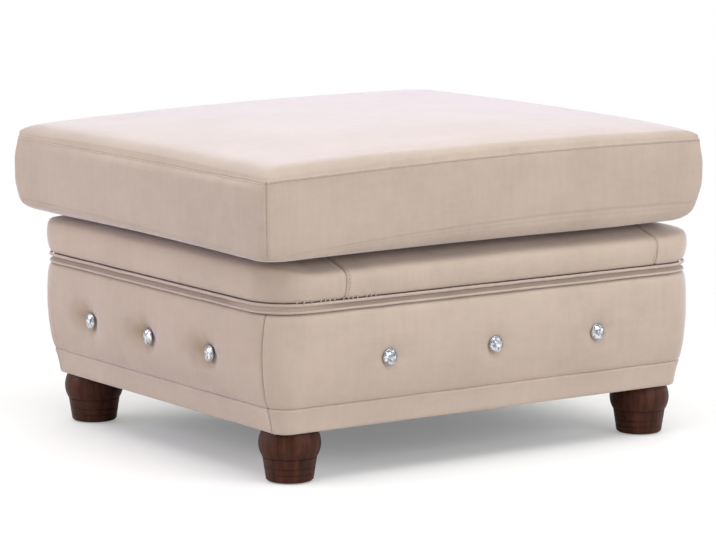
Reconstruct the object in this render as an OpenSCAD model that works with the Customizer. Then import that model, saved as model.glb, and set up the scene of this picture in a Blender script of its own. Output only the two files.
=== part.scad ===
// Footstool: a loose boxed cushion on an upholstered base with a plinth band and turned feet.
// Millimetres. X runs along the long side, -Y is a long face, Z is up.
// The origin is on the floor under the middle of the box round the whole footstool.

/* [Cushion] */
// Width of the cushion at its fullest, left to right
cushion_w = 732; // [700:1:900]
// Depth of the cushion at its fullest, front to back
cushion_d = 668; // [600:1:800]
// Height of the boxed side, from the underside to the top seam, as a mean of the corners
boxing_h = 110; // [70:1:160]
// How far the top seam climbs from the left end to the right end
seam_climb = 8; // [0:0.5:16]
// How far it falls from the front to the back
seam_fall = 3; // [0:0.5:10]
// How far it arches up between the left and right ends
seam_arch = 5; // [0:0.5:12]
// Rise of the crown above the top seam
crown_h = 27; // [22:1:60]
// Part of that rise that is in the roll beside the seam
crown_roll_h = 16; // [2:1:20]
// Width of that roll
crown_roll_w = 44; // [15:1:60]
// Corner radius of the cushion seen from above
cushion_corner_r = 20; // [12:1:80]
// How far the sides are drawn in between the corners
cushion_draw = 4; // [0:0.5:15]
// How far the boxing pulls in at its top and bottom seams
boxing_round = 9; // [2:0.5:16]
// Thickness of the fibre wrap at the sides of the foam core
wrap_t = 22; // [14:1:40]
// Length of the zip in the back of the boxing
zip_len = 420; // [200:5:500]
// Width of the zip tape that shows
zip_w = 12; // [6:1:20]
// Where the middle of the loose cushion lies, left to right
cushion_at_x = -4.5; // [-10:0.5:10]

/* [Base] */
// Where the middle of the base lies, left to right
base_at_x = 7.5; // [-10:0.5:10]
// Where the middle of the base lies, front to back
base_at_y = -7; // [-10:0.5:10]
// How far the cushion is wider than the base at its waist, both ends together
waist_less_w = 18; // [0:1:60]
// How far the cushion is deeper than the base at its waist, both ends together
waist_less_d = 46; // [0:1:80]
// How far each end of the body flares from the plinth band up to the waist
body_flare_x = 14.5; // [0:0.5:30]
// How far the front and the back of the body flare up to the waist
body_flare_y = 9.5; // [0:0.5:30]
// How far each end of the plinth band tapers down to its lower edge
band_taper_x = 7.5; // [0:0.5:15]
// How far the front and the back of the plinth band taper
band_taper_y = 5.5; // [0:0.5:15]
// Corner radius of the base at its waist, seen from above
waist_corner_r = 60; // [40:1:66]
// Corner radius of the body where it meets the plinth band
body_foot_corner_r = 30; // [24:1:40]
// Corner radius of the plinth band at its lower edge
band_foot_corner_r = 22; // [16:1:28]
// How far round a corner its seam lies from the short face at the waist, in degrees
waist_seam_turn = 30; // [10:1:45]
// The same at the lower edge of the plinth band
foot_seam_turn = 6; // [4:1:45]
// Height of the plinth band
band_h = 34; // [20:1:60]
// Height of the buttoned body above the band
body_h = 126; // [110:1:220]
// How far the corners of the body swell at mid height
corner_swell = 8; // [0:0.5:10]
// How far the middle of each face swells beyond its corners
face_swell = 3; // [0:0.5:8]

/* [Welts and border] */
// Diameter of the covered welt cord
welt_d = 5; // [3:0.5:9]
// Height of the groove between the two welts
groove_h = 7; // [3:0.5:15]
// Height of the padded border above the upper welt
border_h = 58; // [50:1:90]
// Height of the fullest line of the border above the upper welt
border_belly_h = 27; // [15:1:35]
// How far the border bulges beyond the waist
border_bulge = 6; // [1:0.5:10]
// Radius of the rounding from the border's side to its top
border_round_r = 26; // [18:1:30]
// Distance from the waist in to the seam of the deck cloth
deck_seam_in = 55; // [35:1:90]
// Distance of the border's seams from the ends of the long faces
border_seam_in = 84; // [68:1:140]

/* [Buttons] */
// Diameter of a button
button_d = 23; // [14:0.5:32]
// Height of the button row above the floor
button_z = 163; // [150:1:190]
// Spacing of the buttons on the long faces
button_pitch_long = 174; // [110:1:210]
// Spacing of the buttons on the short faces
button_pitch_short = 156; // [110:1:190]
// Radius of the hollow round a button
tuft_r = 40; // [24:1:44]
// Depth of the hollow round a button
tuft_depth = 6.5; // [2:0.5:8]
// Diameter of the button twine
twine_d = 2; // [1:0.5:3]

/* [Feet] */
// Height from the floor to the underside of the base
foot_h = 70; // [50:1:110]
// Height of the neck, where the bulb of the foot begins
neck_h = 34; // [20:1:40]
// Widest diameter of the bulb
bulb_d = 83.5; // [60:0.5:100]
// Diameter of the bulb at its top and at the neck
bulb_end_d = 73.5; // [50:0.5:90]
// Diameter of the taper just under the neck
neck_d = 73; // [45:0.5:90]
// Diameter of the foot at the floor
toe_d = 63; // [40:0.5:90]
// Radius of the turned grooves
groove_r = 0.9; // [0.5:0.1:2]
// Distance of a foot's middle from the end of the frame
foot_in_x = 32; // [31:0.5:55]
// Distance of a foot's middle from the front or the back of the frame
foot_in_y = 32.5; // [31:0.5:55]
// Diameter of the glide under a foot
glide_d = 26; // [16:1:36]
// Thickness of a glide
glide_t = 4; // [3:0.5:6]
// How far a glide stands below the wood
glide_proud = 1.5; // [0.5:0.5:2.5]
// Diameter of the hanger bolt
bolt_d = 8; // [6:1:10]
// Length of the bolt inside the foot
bolt_in_foot = 32; // [20:1:40]

/* [Frame] */
// Room for board and cloth between the frame and the lower edge of the plinth band
frame_room = 8; // [7.5:0.5:15]
// Thickness of the side panels
panel_t = 12; // [9:1:15]
// Side of a square corner post
post_side = 40; // [34:1:50]
// Thickness of the spring rails under the front and back edges
spring_rail_t = 25; // [18:1:32]
// Thickness of the other rails
rail_t = 22; // [16:1:30]
// Height of every rail
rail_h = 40; // [25:1:50]
// Diameter of a frame screw
screw_d = 4; // [3:0.5:5]
// Diameter of its countersunk head
screw_head_d = 8; // [6:0.5:10]
// Length of a frame screw
screw_len = 38; // [25:1:48]
// Side of a square foot plate
plate_side = 100; // [80:1:140]
// Thickness of a foot plate
plate_t = 22; // [16:1:28]
// Diameter of the flange of a T-nut
tnut_flange_d = 19; // [16:0.5:20]
// Thickness of the flange of a T-nut
tnut_flange_t = 1.6; // [1:0.1:2.5]
// Outer diameter of the barrel of a T-nut
tnut_barrel_d = 10.5; // [10.4:0.1:13]

/* [Springs and padding] */
// Number of zigzag springs
spring_count = 4; // [3:1:4]
// Distance between the middles of two springs
spring_pitch = 126; // [60:1:150]
// Width of a spring across its bends
spring_w = 48; // [40:1:54]
// Number of bends along a spring
spring_bends = 18; // [14:2:24]
// Diameter of the spring wire
wire_d = 3.8; // [3:0.1:4.5]
// Width of a spring clip
clip_w = 14; // [8:1:18]
// Length of the nailed tongue of a spring clip
clip_tongue = 9; // [6:0.5:10]
// Thickness of the clip strip
clip_t = 1.2; // [0.8:0.1:1.6]
// Diameter of a clip nail
nail_d = 2; // [1.4:0.1:2.4]
// Length of a clip nail under its head
nail_len = 20; // [12:1:30]
// Thickness of the felt over the springs
spring_felt_t = 3; // [2:0.5:6]
// Thickness of the foam under the deck
deck_foam_t = 28; // [15:1:32]
// Thickness of the covers, velvet with its backing
fabric_t = 1.6; // [1:0.1:2.5]
// Thickness of the sewn flange of a welt
flange_t = 1.2; // [0.8:0.1:2]
// Thickness of the dust cover under the base
dust_t = 1; // [0.6:0.1:2]

/* [Fits] */
// Clearance between a soft piece and its neighbour
fit = 0.3; // [0.2:0.05:0.5]
// Clearance round bolts, nuts, twine and wire
bore_play = 0.2; // [0.1:0.05:0.4]
// Gap between two panels of cloth where they are sewn together
seam_gap = 0.4; // [0.2:0.1:1]
// Gap between two boards or pads that meet at a corner
corner_gap = 2; // [1.5:0.5:4]
// Room between a pad and the cover that lies over it
pad_slack = 3.5; // [3:0.5:5]
// Clearance behind the middle of a button's cup
cup_gap = 1; // [0.8:0.1:2]

/* [Hidden] */
$fn = 64;
base_z = foot_h;
band_top = base_z + band_h;
waist_z = band_top + body_h;
lower_welt_z = waist_z + welt_d/2;
upper_welt_z = waist_z + welt_d*1.5 + groove_h;
border_z = waist_z + 2*welt_d + groove_h;
deck_z = border_z + border_h;
deck_top = deck_z - fit;
foam_top = deck_top - fabric_t;
felt_top = foam_top - deck_foam_t;
clip_top = felt_top - spring_felt_t - bore_play;
clip_r = wire_d/2 + bore_play + clip_t;
spring_z = clip_top - clip_r;
frame_top = spring_z - clip_r;
frame_z = base_z + dust_t;
seam_z = deck_z + boxing_h;
waist = [cushion_w - waist_less_w, cushion_d - waist_less_d]/2;
body_foot = waist - [body_flare_x, body_flare_y];
band_foot = body_foot - [band_taper_x, band_taper_y];
frame = band_foot - frame_room*[1, 1];
frame_inner = frame - panel_t*[1, 1];
foot_at = frame - [foot_in_x, foot_in_y];
corner_at = [waist.x - waist_corner_r, waist.y - waist_corner_r];
deck_half = [waist.x - deck_seam_in, waist.y - deck_seam_in];
flange_gap = upper_welt_z - lower_welt_z - flange_t;

velvet = [0.80, 0.72, 0.66];
velvet_dark = [0.70, 0.62, 0.56];
timber = [0.83, 0.68, 0.46];
walnut = [0.24, 0.13, 0.08];
steel = [0.70, 0.71, 0.73];
foam = [0.95, 0.90, 0.72];
felt = [0.62, 0.58, 0.52];
black_cloth = [0.12, 0.12, 0.13];

// Places the base and the loose cushion, which lies a little off its middle
module on_base() translate([base_at_x, base_at_y, 0]) children();
module on_cushion() translate([cushion_at_x, 0, 0]) children();

// Turns a piece drawn for the front to side 0 front, 1 right, 2 back or 3 left
module on_side(side) on_base() rotate(90*side) children();

// Repeats a piece at the four corners, where at is the corner in the right back quarter
module at_corners(at) {
    for (x = [-1, 1], y = [-1, 1]) translate([x*at.x, y*at.y, 0]) children();
}

// A box between two corners
module box(low, high) translate(low) cube(high - low);

module rounded_rect(half, r) {
    square([2*half.x, 2*(half.y - r)], center = true);
    square([2*(half.x - r), 2*half.y], center = true);
    at_corners([half.x - r, half.y - r]) circle(r);
}

// A closed solid between two grids of points, rows from the bottom up, columns from left to right
// as seen from outside
module grid_shell(outer, inner) {
    rows = len(outer);
    cols = len(outer[0]);
    back = rows*cols;
    function at(r, c) = r*cols + c;
    rim = concat(
        [for (r = [0:rows - 1]) at(r, 0)],
        [for (c = [1:cols - 1]) at(rows - 1, c)],
        [for (r = [rows - 2:-1:0]) at(r, cols - 1)],
        [for (c = [cols - 2:-1:1]) at(0, c)]);
    faces = concat(
        [for (r = [0:rows - 2], c = [0:cols - 2], f = [
            [at(r, c), at(r + 1, c), at(r + 1, c + 1)],
            [at(r, c), at(r + 1, c + 1), at(r, c + 1)],
            [back + at(r + 1, c + 1), back + at(r + 1, c), back + at(r, c)],
            [back + at(r, c + 1), back + at(r + 1, c + 1), back + at(r, c)]]) f],
        [for (k = [0:len(rim) - 1], f = let (p = rim[k], q = rim[(k + 1)%len(rim)])
            (p < q ? [[q, p, back + p], [q, back + p, back + q]]
                : [[q, p, back + q], [p, back + p, back + q]])) f]);
    polyhedron(concat([for (row = outer) each row], [for (row = inner) each row]), faces);
}

// The half sizes and the corner radius of the base at height z
function between(low, high, t) = low + (high - low)*t;
function band_half(z) = between(band_foot, body_foot, (z - base_z)/band_h);
function rise(z) = (z - band_top)/body_h;
function swell(z) = corner_swell*sqrt(max(0, sin(180*rise(z))));
function body_half(z) = between(body_foot, waist, rise(z)) + swell(z)*[1, 1];
function body_r(z) = between(body_foot_corner_r, waist_corner_r, rise(z)) + swell(z);

// A point on one side: s runs from -1 to 1 along the straight part, turn is the angle round the
// corner beyond it, and out is how far the point stands proud
function side_point(side, half, r, s, turn, out, z, gap = seam_gap) = [
    s*(half[side%2] - r - gap/2*cos(turn)) + sign(s)*r*sin(turn),
    r - half[(side + 1)%2] - r*cos(turn) - gap/2*sin(turn) - out, z];

// How far the cloth of a side runs round its corners, up to the seam
function cloth_turn(side, z) = let (
    turn = between(foot_seam_turn, waist_seam_turn, (z - base_z)/(waist_z - base_z)))
    side%2 == 0 ? 90 - turn : turn;

// Columns of a side that has round corners: the straight ones between those of its two corners
function side_columns(straight, corner) = concat(
    [for (k = [len(corner) - 1:-1:0]) [-1, corner[k]]],
    [for (s = straight) [s, 0]], [for (share = corner) [1, share]]);

// The swell of a face and the hollows round its buttons
function pitch(side) = side%2 == 0 ? button_pitch_long : button_pitch_short;
function face_bulge(s, z) = face_swell*(1 - pow(abs(s), 3))*sin(180*rise(z));
function bell(d) = d < tuft_r ? tuft_depth*(1 + cos(180*d/tuft_r))/2 : 0;
function hollow(side, u, z) = bell(norm([u - pitch(side)*max(-1, min(1, round(u/pitch(side)))),
    z - button_z]));
function run(side, z) = body_half(z)[side%2] - body_r(z);
function skin_out(side, s, z) = face_bulge(s, z) - hollow(side, s*run(side, z), z);

// Columns and rows of a face, closer together at the buttons
function face_columns(side) = let (
    p = pitch(side), last = p + tuft_r, whole = run(side, button_z),
    steps = [-1, -0.55, -0.25, 0, 0.25, 0.55, 1],
    middle = [for (b = [-1:1], t = (b < 1 ? concat(steps, [p/2/tuft_r]) : steps))
        (b*p + t*tuft_r)/whole],
    end = between(last/whole, 1, 0.5))
    side_columns(concat([-1, -end], middle, [end, 1]), side%2 == 0 ? [1/3, 2/3, 1] : [1]);
cover_low = band_top + fit;
cover_high = waist_z - fit;
face_rows = let (low = button_z - tuft_r, high = button_z + tuft_r)
    concat([cover_low, between(cover_low, low, 0.45)],
        [for (t = [-1, -0.45, 0, 0.45, 1]) button_z + t*tuft_r],
        [for (t = [0.35, 0.7, 1]) between(high, cover_high, t)]);

// Buttoned covers of the body, one for each side
function body_skin(side, inset) = [for (z = face_rows) [for (c = face_columns(side))
    side_point(side, body_half(z) - inset*[1, 1], body_r(z) - inset, c[0],
        c[1]*cloth_turn(side, z), skin_out(side, c[0], z), z)]];
module body_cover(side) color(velvet) on_side(side) difference() {
    grid_shell(body_skin(side, 0), body_skin(side, fabric_t));
    button_bores(side, twine_d + 2*bore_play);
}
module front_cover() body_cover(0);
module right_cover() body_cover(1);
module back_cover() body_cover(2);
module left_cover() body_cover(3);

// Pads between the covers and the panels, cut away where the buttons pull in
pad_inset = fabric_t + fit + pad_slack;
module body_pad(side) color(foam) on_side(side) difference() {
    low = band_top + fit;
    rows = [for (t = [0:0.25:1]) between(low, cover_high, t)];
    columns = side_columns([-1, -0.85, -0.55, 0, 0.55, 0.85, 1], [0.5, 1]);
    floor_in = tuft_depth + fabric_t + 2*fit + 1;
    grid_shell(
        [for (z = rows) [for (c = columns)
            side_point(side, body_half(z) - pad_inset*[1, 1], body_r(z) - pad_inset, c[0],
                45*c[1], face_bulge(c[0], z), z, corner_gap)]],
        [for (z = rows) [for (c = columns)
            side_point(side, frame, 0, c[0]*(0.9 + 0.1*c[1]), 0, 0, z, corner_gap)]]);
    button_bores(side, twine_d + 2*bore_play);
    at_buttons(side, body_half(button_z)[(side + 1)%2] + face_swell - floor_in)
        cylinder(h = floor_in, r = tuft_r + pad_slack);
}
module front_pad() body_pad(0);
module right_pad() body_pad(1);
module back_pad() body_pad(2);
module left_pad() body_pad(3);

// Repeats a piece on a side's three buttons, with its Z axis pointing out of the face
module at_buttons(side, out) {
    for (b = [-1:1]) translate([b*pitch(side), -out, button_z]) rotate([90, 0, 0]) children();
}
module button_bores(side, d) at_buttons(side, 0)
    cylinder(h = body_half(button_z)[(side + 1)%2] + face_swell + 1, d = d);

// Seat of a button: how far the hollow's lowest point is from the middle of the base
function button_out(side, b) = body_half(button_z)[(side + 1)%2]
    + skin_out(side, b*pitch(side)/run(side, button_z), button_z) + cup_gap;
module at_button_seats() {
    for (side = [0:3], b = [-1:1]) on_side(side)
        translate([b*pitch(side), -button_out(side, b), button_z]) rotate([90, 0, 0]) children();
}

cup_h = 4.5;
cup_wall = 1.2;
stone_girdle = 0.8;
stone_crown = 2.8;
stone_r = button_d/2 - cup_wall;
module button_cups() color(steel) at_button_seats() rotate_extrude() polygon([
    [twine_d/2 + bore_play, 0], [button_d/6, 0], [button_d/2, cup_h*0.7], [button_d/2, cup_h],
    [stone_r + bore_play, cup_h], [stone_r + bore_play, cup_h*0.75], [twine_d/2 + bore_play, cup_h/3]]);

// Cut glass stones with an eight sided crown
module button_stones() color([0.82, 0.84, 0.88]) at_button_seats() {
    translate([0, 0, cup_h*0.75 + bore_play]) {
        cylinder(h = stone_girdle, r = stone_r);
        translate([0, 0, stone_girdle])
            cylinder(h = stone_crown, r1 = stone_r, r2 = stone_r*0.5, $fn = 8);
    }
}

// Twines run from the cups through the pads and panels and end in a knot behind the panel
knot_d = 8;
knot_h = 3;
module button_twines() color([0.9, 0.88, 0.8]) {
    for (side = [0:3], b = [-1:1]) {
        inner = frame_inner[(side + 1)%2];
        on_side(side) translate([b*pitch(side), -inner + knot_h, button_z]) rotate([90, 0, 0]) {
            cylinder(h = button_out(side, b) - inner + knot_h + 1, d = twine_d);
            cylinder(h = knot_h, d = knot_d);
        }
    }
}

// Plinth band: cloth over thin boards, with a lip turned in under them
lip_r = 1;
function band_line(side, half, r, z) = [for (c = side_columns([-1, 1], [0.5, 1]))
    side_point(side, half, r, c[0], c[1]*cloth_turn(side, z), 0, z)];
module band_cover(side) color(velvet_dark) on_side(side) {
    lip = frame + fit*[1, 1];
    foot = band_half(base_z);
    head = band_half(band_top);
    t = fabric_t*[1, 1];
    grid_shell(
        [band_line(side, lip, lip_r, base_z), band_line(side, foot, band_foot_corner_r, base_z),
            band_line(side, head, body_foot_corner_r, band_top)],
        [band_line(side, lip, lip_r, base_z + fabric_t),
            band_line(side, band_half(base_z + fabric_t) - t, band_foot_corner_r - fabric_t,
                base_z + fabric_t),
            band_line(side, head - t, body_foot_corner_r - fabric_t, band_top)]);
}
module front_band_cover() band_cover(0);
module right_band_cover() band_cover(1);
module back_band_cover() band_cover(2);
module left_band_cover() band_cover(3);

module band_board(side) color(timber) on_side(side) {
    inset = fabric_t + fit;
    low = base_z + inset;
    far = (side + 1)%2;
    rotate([90, 0, 90]) linear_extrude(2*(frame[side%2] - body_foot_corner_r), center = true)
        polygon([[-frame[far], low], [inset - band_half(low)[far], low],
            [inset - band_half(band_top)[far], band_top], [-frame[far], band_top]]);
}
module front_band_board() band_board(0);
module right_band_board() band_board(1);
module back_band_board() band_board(2);
module left_band_board() band_board(3);

// Welts: a covered cord with a sewn flange that reaches in to the frame
module welt(z) on_base() translate([0, 0, z]) {
    for (y = [-1, 1]) translate([0, y*waist.y, 0]) rotate([0, 90, 0])
        cylinder(h = 2*corner_at.x, d = welt_d, center = true);
    for (x = [-1, 1]) translate([x*waist.x, 0, 0]) rotate([90, 0, 0])
        cylinder(h = 2*corner_at.y, d = welt_d, center = true);
    for (k = [0:3]) translate([(k%3 == 0 ? 1 : -1)*corner_at.x, (k < 2 ? 1 : -1)*corner_at.y, 0])
        rotate(90*k) rotate_extrude(angle = 90) translate([waist_corner_r, 0]) circle(d = welt_d);
    translate([0, 0, -flange_t/2]) linear_extrude(flange_t) difference() {
        rounded_rect(waist, waist_corner_r);
        square(2*frame, center = true);
    }
}
module upper_welt() color(velvet_dark) welt(upper_welt_z);
module lower_welt() color(velvet_dark) welt(lower_welt_z);

strip_in = welt_d/2 + fit;
batten_in = strip_in + fabric_t + fit;
module welt_strip() color(velvet) on_base() translate([0, 0, lower_welt_z + flange_t/2])
    linear_extrude(flange_gap) difference() {
        rounded_rect(waist - strip_in*[1, 1], waist_corner_r - strip_in);
        rounded_rect(waist - (strip_in + fabric_t)*[1, 1], waist_corner_r - strip_in - fabric_t);
    }

// Battens behind the groove, to which the flanges of both welts are stapled
module waist_battens() color(timber) on_base() translate([0, 0, lower_welt_z + flange_t/2])
    linear_extrude(flange_gap) difference() {
        rounded_rect(waist - batten_in*[1, 1], waist_corner_r - batten_in);
        square(2*frame, center = true);
        for (y = [-1, 1]) translate([0, y*(frame.y + fit)])
            square([2*waist.x, 2*fit], center = true);
    }

// Outline of the border's section from the upper welt to the deck, out from the waist and up
// Its points are in hundredths, so that the round corners meet the straight sides face to face
function hundredths(p) = [round(p.x*100)/100, round(p.y*100)/100];
function border_outline(inset, low) = let (
    power = 0.83, flat_at = 78.75, belly = border_z + border_belly_h)
    [for (p = concat(
        [for (k = [0:3]) [border_bulge*sin(22.5*k) - inset, between(low, belly, k/4)]],
        [for (a = [0:11.25:flat_at]) [
            (border_round_r - inset)*pow(cos(a), power) - border_round_r + border_bulge,
            belly + (deck_top - inset - belly)*pow(sin(a)/sin(flat_at), power)]])) hundredths(p)];
function border_section(half, inset, low) = let (line = border_outline(inset, low)) concat(
    [for (p = line) [half + p.x, p.y]],
    [for (k = [len(line) - 1:-1:0]) [-half - line[k].x, line[k].y]]);

// The whole padded top of the base, inset from its outer surface
module border_mass(inset, low) on_base() {
    line = border_outline(inset, low);
    rotate([90, 0, 90]) linear_extrude(2*corner_at.x, center = true)
        polygon(border_section(waist.y, inset, low));
    rotate([90, 0, 0]) linear_extrude(2*corner_at.y, center = true)
        polygon(border_section(waist.x, inset, low));
    for (k = [0:3]) translate([(k%3 == 0 ? 1 : -1)*corner_at.x,
            (k < 2 ? 1 : -1)*corner_at.y, 0])
        rotate(90*k) rotate_extrude(angle = 90) polygon(concat([[0, low]],
            [for (p = line) [waist_corner_r + p.x, p.y]], [[0, line[len(line) - 1].y]]));
}
module border_shell() difference() {
    border_mass(0, border_z + fit);
    border_mass(fabric_t, border_z);
    on_base() box([-deck_half.x, -deck_half.y, foam_top - 1], [deck_half.x, deck_half.y, deck_z]);
}

// The seams of the border lie on the long faces, so each short piece wraps round two corners
border_seam_x = waist.x - border_seam_in;
module long_border_cover(side) color(velvet) intersection() {
    border_shell();
    on_side(side) box([-border_seam_x, -cushion_d, border_z], [border_seam_x, -1, deck_z]);
}
module short_border_cover(side) color(velvet) intersection() {
    border_shell();
    on_side(side) box([-cushion_d, -cushion_w, border_z],
        [cushion_d, -border_seam_x - seam_gap, deck_z]);
}
module front_border_cover() long_border_cover(0);
module back_border_cover() long_border_cover(2);
module right_border_cover() short_border_cover(1);
module left_border_cover() short_border_cover(3);

module border_foam() color(foam) difference() {
    border_mass(fabric_t + fit, border_z);
    on_base() box([-frame.x - fit, -frame.y - fit, border_z - border_h],
        [frame.x + fit, frame.y + fit, deck_z]);
}

module deck_cloth() color(velvet_dark) on_base()
    box([-deck_half.x + seam_gap, -deck_half.y + seam_gap, foam_top],
        [deck_half.x - seam_gap, deck_half.y - seam_gap, deck_top]);

module deck_foam() color(foam) intersection() {
    border_mass(fabric_t + fit, border_z);
    on_base() box([-frame.x, -frame.y, felt_top], [frame.x, frame.y, foam_top]);
}

// Felt over the springs, turned down on to the top edges of the panels
module spring_felt() color(felt) on_base() difference() {
    box([-frame.x, -frame.y, frame_top], [frame.x, frame.y, felt_top]);
    box([-frame_inner.x, -frame_inner.y, frame_top - 1],
        [frame_inner.x, frame_inner.y, felt_top - spring_felt_t]);
}

// Zigzag springs from rail to rail, each one wire bent back and forth, held in clips
// The step is a round number, so that bends and rungs meet face to face
rung_step = floor((2*frame_inner.y - spring_rail_t)/spring_bends*20)/20;
clip_y = rung_step*spring_bends/2;
module zigzag_spring() {
    straight = spring_w - rung_step;
    for (k = [0:spring_bends]) translate([0, k*rung_step - clip_y, 0])
        rotate([0, 90, 0]) cylinder(h = straight, d = wire_d, center = true, $fn = 32);
    for (k = [0:spring_bends - 1]) translate([
            (k%2 == 0 ? 1 : -1)*straight/2, (k + 0.5)*rung_step - clip_y, 0])
        rotate(k%2 == 0 ? -90 : 90) rotate_extrude(angle = 180)
            translate([rung_step/2, 0]) circle(d = wire_d, $fn = 32);
}
module at_springs() on_base() {
    for (k = [0:spring_count - 1]) translate([(k - (spring_count - 1)/2)*spring_pitch, 0, spring_z])
        children();
}
module zigzag_springs() color(steel) at_springs() zigzag_spring();

module spring_clip() difference() {
    rotate([90, 0, 90]) linear_extrude(clip_w, center = true) {
        difference() {
            circle(clip_r, $fn = 48);
            circle(clip_r - clip_t, $fn = 48);
        }
        translate([-clip_tongue, -clip_r]) square([clip_tongue, clip_t]);
    }
    clip_nail(bore_play);
}
module at_clips() at_springs() {
    translate([0, clip_y, 0]) mirror([0, 1, 0]) children();
    translate([0, -clip_y, 0]) children();
}
module spring_clips() color(steel) at_clips() spring_clip();

// Nails hold the tongues of the clips down on the spring rails
module clip_nail(play) translate([0, nail_d - clip_tongue, -clip_r]) {
    translate([0, 0, -nail_len]) cylinder(h = nail_len + clip_t + play, d = nail_d + 2*play);
    if (play == 0) translate([0, 0, clip_t]) cylinder(h = 0.8, d = nail_d*1.8);
}
module clip_nails() color(steel) at_clips() clip_nail(0);

// Countersunk screws hold the panels to the posts, two at each end of a panel
module panel_screws(side, play) {
    low = plate_top + pocket_h + 15;
    out = frame[(side + 1)%2];
    for (x = [-1, 1], z = [low, frame_top - 35])
        translate([x*(frame_inner[side%2] - post_side/2), -out, z + (side%2)*3*screw_d])
            rotate([-90, 0, 0]) {
                cylinder(h = screw_len, d = screw_d + 2*play);
                cylinder(h = screw_head_d/2, d1 = screw_head_d + 2*play, d2 = 2*play + 0.1);
            }
}
module frame_screws() color(steel) {
    for (side = [0:3]) on_side(side) panel_screws(side, 0);
}

// Panels: the long pair runs the full width, the short pair fits between
module panel(side) color(timber) on_side(side) difference() {
    along = side%2 == 0 ? frame.x : frame_inner.y;
    out = frame[(side + 1)%2];
    box([-along, -out, frame_z], [along, panel_t - out, frame_top]);
    button_bores(side, twine_d + 2);
    panel_screws(side, bore_play);
}
module front_panel() panel(0);
module right_panel() panel(1);
module back_panel() panel(2);
module left_panel() panel(3);

// Rails lie against the inside of the panels
module rail(side, end, thick, low) on_side(side) {
    out = frame_inner[(side + 1)%2];
    box([-end, -out, low], [end, thick - out, low + rail_h]);
}
module spring_rail(side) color(timber) difference() {
    rail(side, frame_inner.x - post_side, spring_rail_t, frame_top - rail_h);
    at_clips() clip_nail(bore_play);
}
module front_spring_rail() spring_rail(0);
module back_spring_rail() spring_rail(2);
module right_top_rail() color(timber)
    rail(1, frame_inner.y - post_side, rail_t, frame_top - rail_h);
module left_top_rail() color(timber)
    rail(3, frame_inner.y - post_side, rail_t, frame_top - rail_h);
module bottom_rails() color(timber) {
    for (side = [0:3]) rail(side, frame_inner[side%2] - plate_side - seam_gap, rail_t, frame_z);
}

// Posts stand on the foot plates, with a pocket over each T-nut
plate_top = frame_z + plate_t;
pocket_h = 12;
pocket_play = 1;
module corner_posts() color(timber) difference() {
    on_base() for (x = [0, 1], y = [0, 1]) mirror([x, 0, 0]) mirror([0, y, 0])
        box([frame_inner.x - post_side, frame_inner.y - post_side, plate_top],
            [frame_inner.x, frame_inner.y, frame_top]);
    on_base() at_corners(foot_at) translate([0, 0, plate_top - 1])
        cylinder(h = pocket_h + 1, d = tnut_flange_d + 2*pocket_play);
    for (side = [0:3]) on_side(side) panel_screws(side, bore_play);
}
module foot_plates() color(timber) on_base() difference() {
    for (x = [0, 1], y = [0, 1]) mirror([x, 0, 0]) mirror([0, y, 0])
        box([frame_inner.x - plate_side, frame_inner.y - plate_side, frame_z],
            [frame_inner.x, frame_inner.y, plate_top]);
    at_corners(foot_at) translate([0, 0, frame_z - 1])
        cylinder(h = plate_t + 2, d = tnut_barrel_d + 2*bore_play);
}
module t_nuts() color(steel) on_base() at_corners(foot_at) difference() {
    union() {
        translate([0, 0, frame_z + 2]) cylinder(h = plate_t - 2, d = tnut_barrel_d);
        translate([0, 0, plate_top]) cylinder(h = tnut_flange_t, d = tnut_flange_d);
    }
    translate([0, 0, frame_z]) cylinder(h = plate_t + 5, d = bolt_d + 2*bore_play);
}
module hanger_bolts() color(steel) on_base() at_corners(foot_at) {
    tip = bolt_d*0.6;
    translate([0, 0, base_z - bolt_in_foot + tip])
        cylinder(h = bolt_in_foot - tip + dust_t + plate_t + tnut_flange_t + 4, d = bolt_d);
    translate([0, 0, base_z - bolt_in_foot]) cylinder(h = tip, d1 = 1, d2 = bolt_d);
}
module dust_cover() color(black_cloth) on_base() difference() {
    box([-frame.x, -frame.y, base_z], [frame.x, frame.y, frame_z]);
    at_corners(foot_at) translate([0, 0, base_z - 1]) cylinder(h = dust_t + 2, d = bolt_d + 4);
}

// Turned foot: a bulb over a tapered toe with two turned grooves and one at the neck
toe_edge = 2;
bulb_half_h = (foot_h - neck_h)/2;
bulb_sag = (bulb_d - bulb_end_d)/2;
bulb_arc_r = (bulb_half_h*bulb_half_h + bulb_sag*bulb_sag)/(2*bulb_sag);
function taper_r(z) = between(toe_d, neck_d, (z - glide_proud)/(neck_h - glide_proud))/2;
module foot_profile() difference() {
    union() {
        intersection() {
            translate([bulb_d/2 - bulb_arc_r, neck_h + bulb_half_h]) circle(bulb_arc_r, $fn = 128);
            translate([0, neck_h]) square([bulb_d/2, foot_h - neck_h]);
        }
        polygon([[0, glide_proud], [toe_d/2 - toe_edge, glide_proud],
            [taper_r(glide_proud + toe_edge), glide_proud + toe_edge], [neck_d/2, neck_h], [0, neck_h]]);
    }
    for (z = [neck_h*0.35, neck_h*0.6, neck_h]) translate([taper_r(z), z]) circle(groove_r, $fn = 24);
}
module foot(x, y) color(walnut) on_base() translate([x*foot_at.x, y*foot_at.y, 0]) difference() {
    rotate_extrude($fn = 96) foot_profile();
    translate([0, 0, glide_proud - 1])
        cylinder(h = glide_t - glide_proud + 1 + bore_play, d = glide_d + 2*bore_play);
    translate([0, 0, foot_h - bolt_in_foot - 1]) cylinder(h = bolt_in_foot + 2, d = bolt_d + 2*bore_play);
}
module foot_front_left() foot(-1, -1);
module foot_front_right() foot(1, -1);
module foot_back_left() foot(-1, 1);
module foot_back_right() foot(1, 1);
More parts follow.
